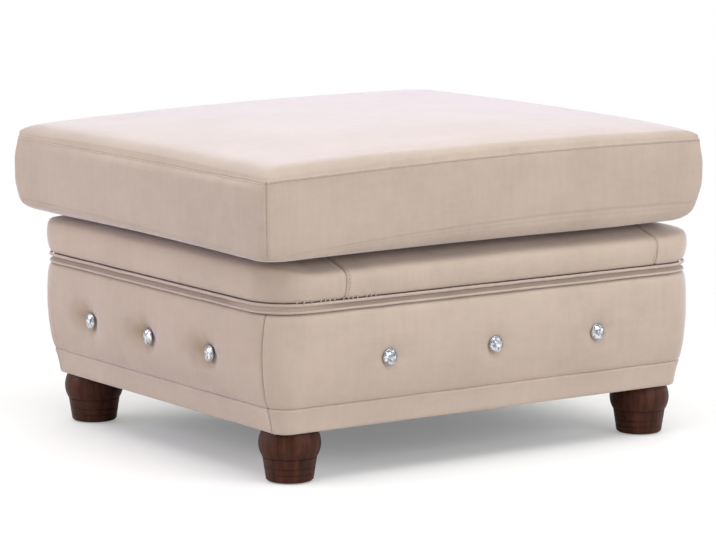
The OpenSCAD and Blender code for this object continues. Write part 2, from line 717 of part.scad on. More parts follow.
module glides() color([0.2, 0.2, 0.2]) on_base() at_corners(foot_at)
    rotate_extrude() polygon([[0, 0], [glide_d/2 - 1, 0], [glide_d/2, 1], [glide_d/2, glide_t], [0, glide_t]]);

// Outline of the cushion from above: round corners joined by sides that are drawn in
corner_steps = 4;
side_steps = 6;
function cushion_ring(half, r, draw, z) = [for (k = [0:3], p = let (
        c = [(k%3 == 0 ? 1 : -1)*(half.x - r), (k < 2 ? 1 : -1)*(half.y - r)],
        n = [(k < 2 ? -1 : 1)*(half.x - r), (k%3 == 0 ? 1 : -1)*(half.y - r)],
        out = [cos(90*k + 90), sin(90*k + 90)])
    concat([for (a = [0:corner_steps]) c + r*[cos(90*(k + a/corner_steps)), sin(90*(k + a/corner_steps))]],
        [for (s = [1:side_steps - 1]) let (t = s/side_steps)
            between(c, n, t) + out*(r - draw*4*t*(1 - t))])) [p.x, p.y, z]];

// Rise of the crown at a point of the top: a steep roll beside the seam, then a slow rise to the middle
function crown(p, half) = let (
    edge = min(half.x - abs(p.x), half.y - abs(p.y)),
    t = max(0, min(1, edge/crown_roll_w)),
    full = (1 - pow(min(1, abs(p.x/half.x)), 2.6))*(1 - pow(min(1, abs(p.y/half.y)), 2.6)))
    crown_roll_h*sqrt(1 - (1 - t)*(1 - t)) + (crown_h - crown_roll_h)*full;

// How far the top seam lies above or below its mean height at the corners
function seam_ride(p) = let (u = p.x*2/cushion_w, v = p.y*2/cushion_d)
    (seam_climb*u - seam_fall*v)/2 + seam_arch*(1 - u*u);

// The cushion's skin, inset from its outer surface, as rings from the underside up to the crown
boxing_levels = [-1, -0.96, -0.84, -0.6, -0.2, 0.3, 0.7, 0.92, 1];
crown_scales = [0.985, 0.94, 0.85, 0.6, 0.3];
module cushion_skin(inset) {
    mid = (deck_z + seam_z)/2;
    half_h = boxing_h/2 - inset;
    r = cushion_corner_r;
    function pull(level) = inset + boxing_round*pow(abs(level), 5);
    function half(level) = [cushion_w, cushion_d]/2 - pull(level)*[1, 1];
    rings = concat(
        [for (v = boxing_levels) [
            for (p = cushion_ring(half(v), r - pull(v)/2, cushion_draw, mid + v*half_h))
                p + [0, 0, seam_ride(p)*(1 + v)/2]]],
        [for (f = crown_scales) [
            for (p = cushion_ring(half(1)*f, (r - pull(1)/2)*f, cushion_draw*f, mid + half_h))
                p + [0, 0, seam_ride(p) + crown(p, half(1))]]]);
    n = len(rings[0]);
    last = len(rings) - 1;
    points = concat([for (ring = rings) each ring],
        [[0, 0, mid - half_h], [0, 0, mid + half_h + seam_ride([0, 0]) + crown_h]]);
    faces = concat(
        [for (r = [0:last - 1], c = [0:n - 1], f = let (d = (c + 1)%n)
            [[r*n + c, (r + 1)*n + c, (r + 1)*n + d], [r*n + c, (r + 1)*n + d, r*n + d]]) f],
        [for (c = [0:n - 1], f = let (d = (c + 1)%n)
            [[c, d, len(points) - 2], [last*n + d, last*n + c, len(points) - 1]]) f]);
    polyhedron(points, faces);
}
module cushion_shell() on_cushion() difference() {
    cushion_skin(0);
    cushion_skin(fabric_t);
}

// The zip lies in the back of the boxing, a little below the middle
zip_z = deck_z + boxing_h*0.42;
module zip_window(play) on_cushion() box([-zip_len/2 - play, cushion_d/4, zip_z - zip_w/2 - play],
    [zip_len/2 + play, cushion_d, zip_z + zip_w/2 + play]);
module cushion_cover() color(velvet) difference() {
    cushion_shell();
    zip_window(fit);
}
module cushion_zip() color(velvet_dark) intersection() {
    cushion_shell();
    zip_window(0);
}

core_low = deck_z + 14;
core_high = seam_z - 6;
core_corner_r = 25;
module core_block(play) on_cushion() translate([0, 0, core_low - play]) linear_extrude(core_high - core_low + 2*play)
    rounded_rect([cushion_w/2 - wrap_t + play, cushion_d/2 - wrap_t + play], core_corner_r + play);
module cushion_wrap() color([0.96, 0.96, 0.94]) difference() {
    on_cushion() cushion_skin(fabric_t + fit);
    core_block(fit);
}
module cushion_foam() color(foam) core_block(0);

cushion_cover();
cushion_zip();
cushion_wrap();
cushion_foam();
deck_cloth();
deck_foam();
spring_felt();
zigzag_springs();
spring_clips();
clip_nails();
front_border_cover();
back_border_cover();
left_border_cover();
right_border_cover();
border_foam();
upper_welt();
welt_strip();
lower_welt();
waist_battens();
front_cover();
back_cover();
left_cover();
right_cover();
front_pad();
back_pad();
left_pad();
right_pad();
button_cups();
button_stones();
button_twines();
front_band_cover();
back_band_cover();
left_band_cover();
right_band_cover();
front_band_board();
back_band_board();
left_band_board();
right_band_board();
front_panel();
back_panel();
left_panel();
right_panel();
front_spring_rail();
back_spring_rail();
left_top_rail();
right_top_rail();
bottom_rails();
corner_posts();
frame_screws();
foot_plates();
dust_cover();
foot_front_left();
foot_front_right();
foot_back_left();
foot_back_right();
hanger_bolts();
t_nuts();
glides();
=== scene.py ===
import math

import bpy
import numpy as np
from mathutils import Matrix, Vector, noise


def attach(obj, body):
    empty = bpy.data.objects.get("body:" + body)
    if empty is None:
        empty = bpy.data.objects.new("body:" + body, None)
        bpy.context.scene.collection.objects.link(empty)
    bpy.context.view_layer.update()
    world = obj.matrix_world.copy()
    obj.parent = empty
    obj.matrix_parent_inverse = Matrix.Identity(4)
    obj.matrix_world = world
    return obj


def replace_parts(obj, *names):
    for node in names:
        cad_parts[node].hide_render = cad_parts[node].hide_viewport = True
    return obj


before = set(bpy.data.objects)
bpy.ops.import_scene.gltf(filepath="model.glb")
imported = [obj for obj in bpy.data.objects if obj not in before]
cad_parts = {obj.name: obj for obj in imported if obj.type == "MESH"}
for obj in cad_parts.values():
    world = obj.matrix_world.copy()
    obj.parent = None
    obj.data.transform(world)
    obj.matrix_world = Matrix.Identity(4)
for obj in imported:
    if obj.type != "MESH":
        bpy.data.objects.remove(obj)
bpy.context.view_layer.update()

# Lengths are in millimetres up to the moment a mesh is made. The values repeat those of the CAD source.
MM = 0.001
SIDES = ["front", "right", "back", "left"]
BASE_AT = np.array([7.5, -7.0, 0.0])
CUSHION_AT = np.array([-4.5, 0.0, 0.0])
BASE_Z, BAND_TOP, WAIST_Z, DECK_Z, SEAM_Z = 70.0, 104.0, 230.0, 305.0, 413.0
WAIST = np.array([357.0, 311.0])
BODY_FOOT = np.array([342.5, 301.5])
BAND_FOOT = np.array([335.0, 296.0])
WAIST_R, BODY_FOOT_R, BAND_FOOT_R = 60.0, 30.0, 22.0
FRAME_HALF = np.array([327.0, 288.0])
FOOT_AT = np.array([295.0, 255.5])
BORDER_SEAMS = (-244.0, 276.0)
BORDER_TOP = 304.6
DECK_SEAM_IN = 55.0
UPPER_WELT_R, LOWER_WELT_R = 2.1, 1.7
LOWER_WELT_Z, UPPER_WELT_Z = 234.1, 243.9
BUTTON_Z = 163.0
BUTTON_PITCH = [174.0, 156.0]
BUTTON_R = 11.5
BUTTON_SINK = 5.5
TUFT_R = 40.0
CUSHION = np.array([366.0, 334.0])
CUSHION_R = 16.0
CUSHION_DRAW = 4.0
CUSHION_SHARP_R = 9.0
TOP_HALF = CUSHION - 1.7
ROLL_RISE, ROLL_WIDTH, CROWN_RISE = 18.5, 44.0, 11.6
TOPSTITCH_AT = 0.985  # share of the boxing's height
ZIP_LENGTH = 420.0


# ---- small numeric helpers

def between(low, high, t):
    return low + (high - low)*t


def ease(t):
    t = np.clip(t, 0.0, 1.0)
    return t*t*(3 - 2*t)


def distance_along(points):
    return np.r_[0, np.cumsum(np.linalg.norm(np.diff(points, axis=0), axis=1))]


def bump_at(d, width):
    return np.exp(-(d/width)**2)


def wobble(points, scale, seed):
    """Smooth noise from -1 to 1 at points in millimetres, with features of about that scale."""
    flat = points.reshape(-1, 3)/scale + np.array([seed*7.31, seed*3.77, seed*5.13])
    return np.array([noise.noise(Vector(p)) for p in flat]).reshape(points.shape[:-1])


def turned(points, side):
    """Turns points drawn for the front face to side 0 front, 1 right, 2 back or 3 left."""
    c, s = [(1, 0), (0, 1), (-1, 0), (0, -1)][side]
    out = points.copy()
    out[..., 0] = c*points[..., 0] - s*points[..., 1]
    out[..., 1] = s*points[..., 0] + c*points[..., 1]
    return out


# ---- mesh helpers

def linked(name, data):
    obj = bpy.data.objects.new(name, data)
    bpy.context.scene.collection.objects.link(obj)
    return obj


def make_object(name, verts, faces, material, smooth=True):
    mesh = bpy.data.meshes.new(name)
    mesh.from_pydata((np.asarray(verts)*MM).tolist(), [], faces)
    mesh.polygons.foreach_set("use_smooth", [smooth]*len(mesh.polygons))
    mesh.update()
    obj = linked(name, mesh)
    obj.data.materials.append(material)
    return obj


class Builder:
    """Collects grids of points and makes one mesh of them."""

    def __init__(self):
        self.verts = []
        self.faces = []

    def add(self, points):
        start = len(self.verts)
        self.verts.extend(np.asarray(points, float).reshape(-1, 3).tolist())
        return start

    def grid(self, points, closed=False, flip=False):
        """Rows run upward and columns to the right as seen from outside."""
        rows, cols = points.shape[:2]
        start = self.add(points)
        index = start + np.arange(rows*cols).reshape(rows, cols)
        if closed:
            index = np.concatenate([index, index[:, :1]], 1)
        self.quads([index[:-1, :-1], index[:-1, 1:], index[1:, 1:], index[1:, :-1]], flip)
        return start

    def quads(self, corners, flip):
        faces = np.stack(corners, -1).reshape(-1, 4)
        self.faces += (faces[:, ::-1] if flip else faces).tolist()

    def make(self, name, material, smooth=True):
        return make_object(name, self.verts, self.faces, material, smooth)


def grid_object(name, points, material, closed=False, flip=False):
    builder = Builder()
    builder.grid(points, closed, flip)
    return builder.make(name, material)


def loop(half, r, draw=0.0, straight=7.0, arc_steps=12):
    """A round-cornered rectangle from above, counterclockwise, as four sides that each run from the middle
    of one corner to the middle of the next. Returns a list of four (points, outward directions).
    The number of points doesn't depend on half and r, so that rows of different sizes join up."""
    sides = []
    mirror = np.array([-1, 1])
    for side in range(4):
        a, b = half[side % 2], half[1 - side % 2]
        n = int(round(2*(CUSHION[side % 2] - WAIST_R)/straight))
        angles = np.radians(-45*(1 - np.linspace(0, 1, arc_steps + 1)**1.7))
        arc = np.stack([np.sin(angles), -np.cos(angles)], -1)
        t = np.linspace(-1, 1, n + 1)[1:-1]
        row = np.stack([t*(a - r), -b + draw*(1 - t*t)], -1)
        first = np.array([-(a - r), -(b - r)]) + r*arc
        last = np.array([a - r, -(b - r)]) + r*arc[::-1]*mirror
        pts = np.concatenate([first, row, last])
        out = np.concatenate([arc, np.tile([0.0, -1.0], (n - 1, 1)), arc[::-1]*mirror])
        zero = np.zeros((len(pts), 1))
        sides.append((turned(np.concatenate([pts, zero], 1), side), turned(np.concatenate([out, zero], 1), side)))
    return sides


def ring(half, r, draw=0.0, straight=7.0, arc_steps=12):
    """The same outline as one closed row of points and one of outward directions."""
    sides = loop(half, r, draw, straight, arc_steps)
    return (np.concatenate([p[:-1] for p, _ in sides]), np.concatenate([o[:-1] for _, o in sides]))


def spanned(front, right, back, left):
    """A grid of points stretched between the four sides of a loop and then smoothed."""
    back, left = back[::-1], left[::-1]
    s = np.linspace(0, 1, len(front))[:, None, None]
    t = np.linspace(0, 1, len(right))[None, :, None]
    patch = ((1 - t)*front[:, None] + t*back[:, None] + (1 - s)*left[None] + s*right[None]
             - (1 - s)*(1 - t)*front[0] - s*(1 - t)*front[-1] - (1 - s)*t*back[0] - s*t*back[-1])
    for _ in range(160):
        patch[1:-1, 1:-1] = (patch[:-2, 1:-1] + patch[2:, 1:-1] + patch[1:-1, :-2] + patch[1:-1, 2:])/4
    return patch


# ---- materials

class Tree:
    """The node tree of a material or world, with short ways to make the nodes that are used here."""

    def __init__(self, owner):
        owner.use_nodes = True
        self.nodes, self.links = owner.node_tree.nodes, owner.node_tree.links
        self.bsdf = self.nodes.get("Principled BSDF")

    def put(self, value, socket):
        """Links an output to the socket of an input, or gives that input a fixed value."""
        if isinstance(value, bpy.types.NodeSocket):
            self.links.new(value, socket)
        else:
            socket.default_value = value

    def fill(self, node, values):
        for name, value in values.items():
            self.put(value, node.inputs[name.replace("_", " ")])

    def joined(self, node, *values):
        for value, socket in zip(values, node.inputs):
            self.put(value, socket)
        return node.outputs[0]

    def surface(self, **values):
        self.fill(self.bsdf, values)

    def node(self, kind, operation=None, **values):
        node = self.nodes.new("ShaderNode" + kind)
        if operation:
            node.operation = operation
        self.fill(node, values)
        return node

    def coords(self, scale=(1, 1, 1)):
        return self.node("Mapping", Vector=self.node("TexCoord").outputs["Object"], Scale=scale).outputs["Vector"]

    def noise(self, vector, scale, detail=3.0, rough=0.5):
        return self.node("TexNoise", Vector=vector, Scale=scale, Detail=detail, Roughness=rough).outputs["Fac"]

    def wave(self, vector, direction, scale, distortion, detail):
        node = self.node("TexWave", Vector=vector, Scale=scale, Distortion=distortion, Detail=detail)
        node.wave_type = "BANDS"
        node.bands_direction = direction
        return node.outputs["Fac"]

    def math(self, operation, a, b):
        return self.joined(self.node("Math", operation), a, b)

    def mixed(self, a, share_a, b, share_b):
        return self.math("ADD", self.math("MULTIPLY", a, share_a), self.math("MULTIPLY", b, share_b))

    def mixed_shaders(self, fac, a, b):
        return self.joined(self.node("MixShader"), fac, a, b)

    def ramp(self, fac, stops):
        node = self.node("ValToRGB", Fac=fac)
        elements = node.color_ramp.elements
        while len(elements) < len(stops):
            elements.new(0.5)
        for element, (position, colour) in zip(elements, stops):
            element.position = position
            element.color = (*colour, 1)
        return node.outputs["Color"]

    def spread(self, fac, low, high):
        return self.node("MapRange", Value=fac, To_Min=low, To_Max=high).outputs["Result"]

    def bump(self, height, strength, distance):
        return self.node("Bump", Height=height, Strength=strength, Distance=distance).outputs["Normal"]


def new_material(name):
    mat = bpy.data.materials.new(name)
    return mat, Tree(mat)


def painted_shade_near_buttons(tree, places):
    """Painted shade beside the buttons: dark tan in the middle of each place and white away from all of them, to be
    multiplied into a colour.
    It stands in for the shade on the walls of the dimples. The places are (y, z) of a face that looks along X."""
    half_y, half_z = 0.048, 0.030
    away = None
    for y, z in places:
        near = tree.joined(tree.node("VectorMath", "MULTIPLY_ADD"), tree.coords(), (0.0, 1/half_y, 1/half_z),
                           (0.0, -y*MM/half_y, -z*MM/half_z))
        size = tree.node("VectorMath", "LENGTH", Vector=near).outputs["Value"]
        away = tree.math("MINIMUM", away, size) if away else size
    return tree.ramp(away, [(0.10, (0.76, 0.71, 0.63)), (0.45, (0.89, 0.87, 0.83)), (1.0, (1, 1, 1))])


def velvet(name, colour, sheen=1.0, painted_shade_at=()):
    """Plush velvet: mottled by the lie of its pile, matt towards the eye and pale at grazing angles."""
    mat, tree = new_material(name)
    vector = tree.coords()
    wide = tree.noise(vector, 9.0, 3.0, 0.55)
    brushed = tree.noise(tree.coords((1, 1, 2.2)), 42.0, 4.0, 0.6)
    fine = tree.noise(vector, 900.0, 2.0, 0.6)
    streaks = tree.noise(tree.coords((1, 1, 0.16)), 95.0, 4.0, 0.65)
    lie = tree.math("ADD", brushed, streaks)
    low = tuple(0.93*c for c in colour)
    high = tuple(1.06*c for c in colour)
    shade = tree.ramp(tree.mixed(wide, 0.50, lie, 0.25), [(0.36, low), (0.50, colour), (0.64, high)])
    # painted shade beside the buttons, multiplied into the colour
    if painted_shade_at:
        shade = tree.joined(tree.node("VectorMath", "MULTIPLY"), shade, painted_shade_near_buttons(tree, painted_shade_at))
    height = tree.math("ADD", tree.math("MULTIPLY", fine, 0.5), lie)
    tree.surface(Base_Color=shade, Normal=tree.bump(height, 0.35, 0.0010), Roughness=0.92, Specular_IOR_Level=0.25,
                 Sheen_Weight=sheen, Sheen_Roughness=0.30, Sheen_Tint=(0.90, 0.87, 1.0, 1))
    return mat


def woven(name, low, high, pitch, rough=0.85, sheen=0.1):
    """Plain weave of two crossing threads."""
    mat, tree = new_material(name)
    vector = tree.coords()
    warp, weft = (tree.wave(vector, direction, 0.32/(pitch*MM), 0.6, 1.0) for direction in ("X", "Y"))
    weave = tree.math("MULTIPLY", warp, weft)
    shade = tree.ramp(tree.mixed(weave, 0.5, tree.noise(vector, 30.0, 4.0), 0.6), [(0.25, low), (0.75, high)])
    tree.surface(Base_Color=shade, Normal=tree.bump(weave, 0.5, 0.0004), Roughness=rough, Sheen_Weight=sheen)
    return mat


def wood(name, low, middle, high, rough, grain=(34, 34, 2.2), ridges=0.0):
    """Straight grain along Z in object space unless grain says otherwise. Ridges are those of turning."""
    mat, tree = new_material(name)
    bands = tree.noise(tree.coords(grain), 3.0, 8.0, 0.62)
    pores = tree.noise(tree.coords(tuple(g*9 for g in grain)), 3.0, 3.0, 0.6)
    shade = tree.ramp(tree.mixed(bands, 0.75, pores, 0.25), [(0.34, low), (0.5, middle), (0.66, high)])
    height = pores
    if ridges:
        height = tree.mixed(tree.wave(tree.coords(), "Z", 150.0, 1.5, 2.0), ridges, pores, 0.6)
    tree.surface(Base_Color=shade, Normal=tree.bump(height, 0.25, 0.0006),
                 Roughness=tree.spread(bands, rough - 0.06, rough + 0.08))
    return mat


def metal(name, colour, rough, scale=220.0, bump=0.06):
    mat, tree = new_material(name)
    blot = tree.noise(tree.coords(), scale, 5.0, 0.6)
    dull = tuple(0.82*c for c in colour)
    tree.surface(Base_Color=tree.ramp(blot, [(0.35, dull), (0.65, colour)]), Metallic=1.0,
                 Roughness=tree.spread(blot, rough - 0.08, rough + 0.1), Normal=tree.bump(blot, bump, 0.0002))
    return mat


def plain(name, low, high, rough, scale):
    mat, tree = new_material(name)
    blot = tree.noise(tree.coords(), scale, 6.0, 0.6)
    tree.surface(Base_Color=tree.ramp(blot, [(0.3, low), (0.7, high)]), Roughness=rough,
                 Normal=tree.bump(blot, 0.1, 0.0005))
    return mat


def crystal(name):
    """Cut glass over a mirrored back, which is why it looks silvery and not clear."""
    mat, tree = new_material(name)
    # the dark and light patches of its colour are painted reflections of the facets
    blot = tree.noise(tree.coords(), 260.0, 2.0)
    tree.surface(Base_Color=tree.ramp(blot, [(0.40, (0.22, 0.24, 0.28)), (0.62, (0.92, 0.93, 0.95))]),
                 Roughness=tree.spread(blot, 0.02, 0.10), Metallic=0.85, Coat_Weight=1.0, Coat_Roughness=0.02)
    return mat


VELVET_CUSHION = velvet("velvet_cushion", (0.458, 0.374, 0.314))
VELVET_BODY = velvet("velvet_body", (0.492, 0.400, 0.335))
# The left face's velvet is a darker copy of the body's: painted shade of that side. It also carries painted shade
# beside its three buttons, centred behind and above each one.
VELVET_LEFT = velvet("velvet_left", (0.478, 0.386, 0.324),
                     painted_shade_at=[(BASE_AT[1] + 17.0 + k*BUTTON_PITCH[1], BUTTON_Z + 4.0) for k in (-1, 0, 1)])
# A lighter copy of the velvet: painted light that makes up for the shade on the border's wide corners.
VELVET_BORDER = velvet("velvet_border", (0.496, 0.403, 0.336))
VELVET_WELT = velvet("velvet_welt", (0.485, 0.398, 0.345))
# Darker and less sheeny than the rest of the velvet: painted shade of the recessed groove between the welts.
VELVET_STRIP = velvet("velvet_strip", (0.420, 0.335, 0.275), sheen=0.4)
# A lighter copy of the velvet: painted light standing in for the light that the floor throws up onto the plinth
# band.
VELVET_BAND = velvet("velvet_band", (0.505, 0.412, 0.350))
THREAD = woven("sewing_thread", (0.30, 0.235, 0.19), (0.42, 0.34, 0.285), 0.4)
# the left seam's thread is pale as a painted highlight along that seam
PAINTED_HIGHLIGHT_THREAD = woven("painted_highlight_thread", (0.62, 0.50, 0.42), (0.74, 0.62, 0.53), 0.4)
ZIP_TAPE = woven("zip_tape", (0.33, 0.27, 0.23), (0.46, 0.39, 0.34), 0.7)
DECK_CLOTH = woven("platform_cloth", (0.34, 0.275, 0.23), (0.48, 0.40, 0.345), 1.3)
DUST_CLOTH = woven("dust_cloth", (0.010, 0.010, 0.011), (0.028, 0.028, 0.030), 1.1, 0.9, 0.05)
WALNUT = wood("walnut_stain", (0.026, 0.008, 0.004), (0.054, 0.017, 0.009), (0.092, 0.031, 0.017), 0.42, ridges=0.8)
WALNUT.node_tree.nodes["Principled BSDF"].inputs["Specular IOR Level"].default_value = 0.14
PINE = wood("pine", (0.45, 0.28, 0.13), (0.62, 0.43, 0.23), (0.72, 0.54, 0.32), 0.7)
PLYWOOD = wood("plywood", (0.40, 0.26, 0.13), (0.55, 0.38, 0.21), (0.65, 0.47, 0.28), 0.75, grain=(3, 26, 26))
STEEL = metal("zinc_steel", (0.60, 0.61, 0.64), 0.32)
CHROME = metal("button_chrome", (0.42, 0.42, 0.44), 0.12, 400.0, 0.03)
CRYSTAL = crystal("button_glass")
TWINE = woven("twine", (0.55, 0.50, 0.38), (0.75, 0.70, 0.58), 0.5)
PLASTIC = plain("glide_plastic", (0.008, 0.008, 0.009), (0.016, 0.016, 0.018), 0.5, 300.0)


# ---- camera, light, floor

def aimed(name, data, place, target):
    """A camera or lamp that stands at place and looks at target."""
    obj = linked(name, data)
    obj.location = place
    obj.rotation_euler = (Vector(target) - Vector(place)).to_track_quat("-Z", "Y").to_euler()
    return obj


def add_camera():
    """The camera that was fitted to the photograph. Its focal length and shifts are in the picture's pixels."""
    picture_width, focal, shift_right, shift_up = 716.0, 3791.0, -6.4, 16.8
    data = bpy.data.cameras.new("photo_camera")
    data.sensor_width = 36.0
    data.lens = focal/picture_width*data.sensor_width
    data.shift_x = shift_right/picture_width
    data.shift_y = shift_up/picture_width
    data.clip_end = 60.0
    bpy.context.scene.camera = aimed("photo_camera", data, (-2.9898, -4.3845, 1.0448), (0.0075, -0.007, 0.200))


def area_light(name, place, size, power, colour=(1, 1, 1), target=(0.0, 0.0, 0.25)):
    data = bpy.data.lights.new(name, "AREA")
    data.shape = "RECTANGLE"
    data.size, data.size_y = size
    data.energy = power
    data.color = colour
    aimed(name, data, place, target)


def add_world(ambient):
    """White to the eye and in reflections, and dimmer as a light."""
    world = bpy.data.worlds.new("studio")
    bpy.context.scene.world = world
    tree = Tree(world)
    tree.nodes.clear()
    rays = tree.node("LightPath").outputs
    dim, white = tree.node("Background", Strength=ambient), tree.node("Background", Strength=1.0)
    mirrored = tree.math("MAXIMUM", rays["Is Glossy Ray"], rays["Is Transmission Ray"])
    seen = tree.math("MAXIMUM", rays["Is Camera Ray"], mirrored)
    tree.node("OutputWorld", Surface=tree.mixed_shaders(seen, dim.outputs[0], white.outputs[0]))


def add_floor():
    """The camera sees a floor with the object's shadow that fades into the white backdrop. The light meets
    a plain one."""
    mat, tree = new_material("studio_floor")
    tree.nodes.clear()
    seen = tree.node("BsdfDiffuse", Color=(0.71, 0.706, 0.702, 1))
    plainer = tree.node("BsdfDiffuse", Color=(0.80, 0.79, 0.78, 1))
    glow, backdrop = tree.node("Emission", Strength=0.21), tree.node("Emission", Strength=1.0)
    both = tree.joined(tree.node("AddShader"), seen.outputs[0], glow.outputs[0])
    distance = tree.node("VectorMath", "LENGTH", Vector=tree.coords()).outputs["Value"]
    reach = tree.node("MapRange", Value=distance, From_Min=0.1, From_Max=1.3)
    reach.interpolation_type = "SMOOTHSTEP"
    fading = tree.mixed_shaders(reach.outputs["Result"], both, backdrop.outputs[0])
    camera_ray = tree.node("LightPath").outputs["Is Camera Ray"]
    tree.node("OutputMaterial", Surface=tree.mixed_shaders(camera_ray, plainer.outputs[0], fading))
    size = 15000.0
    corners = [(-size, -size, 0), (size, -size, 0), (size, size, 0), (-size, size, 0)]
    make_object("studio_floor", corners, [(0, 1, 2, 3)], mat)


add_camera()
bpy.context.scene.view_settings.view_transform = "Standard"
add_world(0.55)
add_floor()
area_light("overhead", (-0.5, -0.9, 2.7), (3.0, 2.0), 61.5, (0.99, 1.0, 0.985), target=(-0.1, -0.15, 0.2))
area_light("left_fill", (-3.0, 1.7, 1.6), (2.6, 1.4), 45.0, (0.98, 0.89, 1.0))
area_light("front_fill", (1.2, -3.6, 1.7), (2.6, 1.6), 50.0)
area_light("right_fill", (3.4, 0.3, 1.4), (2.4, 1.4), 24.0, (0.99, 0.96, 1.0))
area_light("back_light", (1.5, 3.1, 1.9), (4.5, 1.2), 64.0, (0.94, 1.0, 0.92), target=(0.0, 0.0, 0.4))


# ---- loose cushion

def roll_profile(distance, width):
    """Height at a distance in from the top seam: a quarter roll of that width, then a slow rise. A wide roll
    takes up the whole rise, and a narrow one leaves some of it to the slow part."""
    tight = np.clip(ROLL_RISE - (ROLL_WIDTH - width)*0.30, 0, ROLL_RISE)
    t = np.clip(distance/width, 0, 1)
    slow = 1 - np.exp(-np.maximum(distance - 0.5*width, 0)/70.0)
    return tight*np.clip(1 - (1 - t)**2, 0, 1)**0.54 + (ROLL_RISE - tight)*slow


def crown_height(p):
    """Rise of the top above its seam. The roll is tighter along the front and wider at the right end."""
    half = TOP_HALF
    u, v = p[..., 0], p[..., 1]
    front_width = 17.0 + 40.0*np.exp(-np.clip(u + CUSHION[0], 0, None)/150.0)
    rolls = np.stack([roll_profile(half[0] + u, ROLL_WIDTH), roll_profile(half[0] - u, 62.0),
                      roll_profile(half[1] + v, front_width), roll_profile(half[1] - v, ROLL_WIDTH)])
    sharpness = 0.6
    lowest = -np.log(np.exp(-sharpness*rolls).sum(0))/sharpness
    a, b = np.clip(np.abs(u/half[0]), 0, 1), np.clip(np.abs(v/half[1]), 0, 1)
    return lowest + CROWN_RISE*(1 - a**2.6)*(1 - b**2.6)


def seam_lift(points):
    """How the top seam rides up and down round the cushion: low at the back left, high on the right."""
    u, v = points[..., 0]/CUSHION[0], points[..., 1]/CUSHION[1]
    u, v = np.clip(u, -1, 1), np.clip(v, -1, 1)
    corners = ((1 + u)*(1 - v)*5.0 + (1 + u)*(1 + v)*4.0 - (1 - u)*(1 + v)*6.0 - (1 - u)*(1 - v)*2.0)/4
    return corners + (1 - u*u)*(2.8*(1 - v)*(1 + 0.3*u) + 2.0*(1 + v)) + 1.0*(1 - v*v)*(1 + u)


def top_height(points):
    return SEAM_Z + 1.2 + seam_lift(points) + crown_height(points)


def low_seam_rise(points):
    """Height of the lower seam above the underside: it climbs from the front left corner to the right."""
    x = points[..., 0]
    across = np.clip((x + 345)/640, 0, 1)
    front = between(6.5, 27.0, 1 - (1 - across)**2)
    back = between(15.0, 24.0, across)
    return between(front, back, ease((points[..., 1] + 300)/400))


def underside_arch(points):
    """The front edge of the underside arches up a little between its corners."""
    u, v = points[..., 0]/CUSHION[0], points[..., 1]/CUSHION[1]
    return 3.4*np.clip(1 - u*u, 0, 1)*ease((-v - 0.6)/0.4)


def corner_distance(points, side_x, side_y):
    """From the cushion's corner on that side: -1 is left or front, 1 is right or back."""
    return np.hypot(points[:, 0] - side_x*CUSHION[0], points[:, 1] - side_y*CUSHION[1])


def cushion_ring(inset, draw, r, r_front_left):
    """A row round the cushion. Its front left corner is sharper than the other three."""
    round_row, _ = ring(CUSHION - inset, r, draw)
    sharp_row, _ = ring(CUSHION - inset, r_front_left, draw)
    return between(sharp_row, round_row, ease((corner_distance(round_row, -1, -1) - 40)/60)[:, None])


def cushion_rows(outer, out, lift):
    """The cushion's rows of points from the underside's edge to the top, and which row is stitched along."""
    low = low_seam_rise(outer)
    arch = underside_arch(outer)
    back_left, front_right = corner_distance(outer, -1, 1), corner_distance(outer, 1, -1)
    # the underside is rounder at these two corners, and the cover is drawn in a little at their tops
    rounder = 8.0*bump_at(back_left, 75) + 15.0*bump_at(front_right, 90)
    drawn = 4.0*bump_at(back_left, 80) + 4.0*bump_at(front_right, 80)
    rows = []
    # the underside's edge rolls up to the lower seam, where the boxing begins
    for t in (0.0, 0.06, 0.16, 0.32, 0.52, 0.68, 0.76, 0.80, 0.84, 0.92, 1.0):
        angle = t*math.pi/2
        p = cushion_ring(between(13.0, 1.6, math.sin(angle)**0.9), CUSHION_DRAW + 8.0*(1 - math.sin(angle)),
                         between(44.0, 26.0, t), between(30.0, 15.0, t))
        p[:, 2] = DECK_Z + (low + arch)*(1 - math.cos(angle)) + arch*math.cos(angle)*min(1.0, 4*t)
        tuck = 0.9*bump_at((1 - t)*12, 1.2) + 0.8*bump_at((t - 0.8)*25, 1.0) + rounder*(1 - math.sin(angle))
        rows.append(p - out*tuck[:, None])
    # boxing
    for t in (0.012, 0.03, 0.06, 0.10, 0.16, 0.23, 0.31, 0.39, 0.47, 0.55, 0.63, 0.71, 0.79, 0.86, 0.91,
              0.945, 0.965, 0.978, TOPSTITCH_AT, 0.992, 1.0):
        v = 2*t - 1
        pull = 0.8*v**6 if v > 0 else 1.6*abs(v)**4
        p = cushion_ring(pull, CUSHION_DRAW, between(26.0, CUSHION_R, float(ease(t/0.35))),
                         between(15.0, CUSHION_SHARP_R, t))
        p[:, 2] = between(DECK_Z + low + arch, SEAM_Z + lift, t)
        if t == TOPSTITCH_AT:
            stitched = len(rows)
        pinch = 0.12*bump_at((t - TOPSTITCH_AT)*105, 0.8) + drawn*ease((p[:, 2] - SEAM_Z - lift + 34)/34)
        rows.append(p - out*pinch[:, None])
    # the seam allowance stands up as a fine ridge, with a faint crease above it
    for inset, z, proud in ((0.9, 0.5, 0.3), (1.0, 1.1, 0.3), (1.2, 1.6, 0.1), (1.6, 2.1, 0.0)):
        p = cushion_ring(inset, CUSHION_DRAW, CUSHION_R, CUSHION_SHARP_R)
        p[:, 2] = SEAM_Z + lift + z
        rows.append(p + out*(proud - drawn)[:, None])
    # roll of the top
    for inset in (2.1, 2.7, 3.6, 5.0, 7.0, 9.6, 12.8, 16.5, 21.0, 27.0, 35.0, ROLL_WIDTH):
        p = cushion_ring(inset, CUSHION_DRAW, CUSHION_R + inset*0.15, CUSHION_SHARP_R + inset*0.3)
        p[:, 2] = top_height(p)
        rows.append(p - out*(drawn*(1 - ease((inset - 3)/38)))[:, None])
    return np.array(rows), stitched


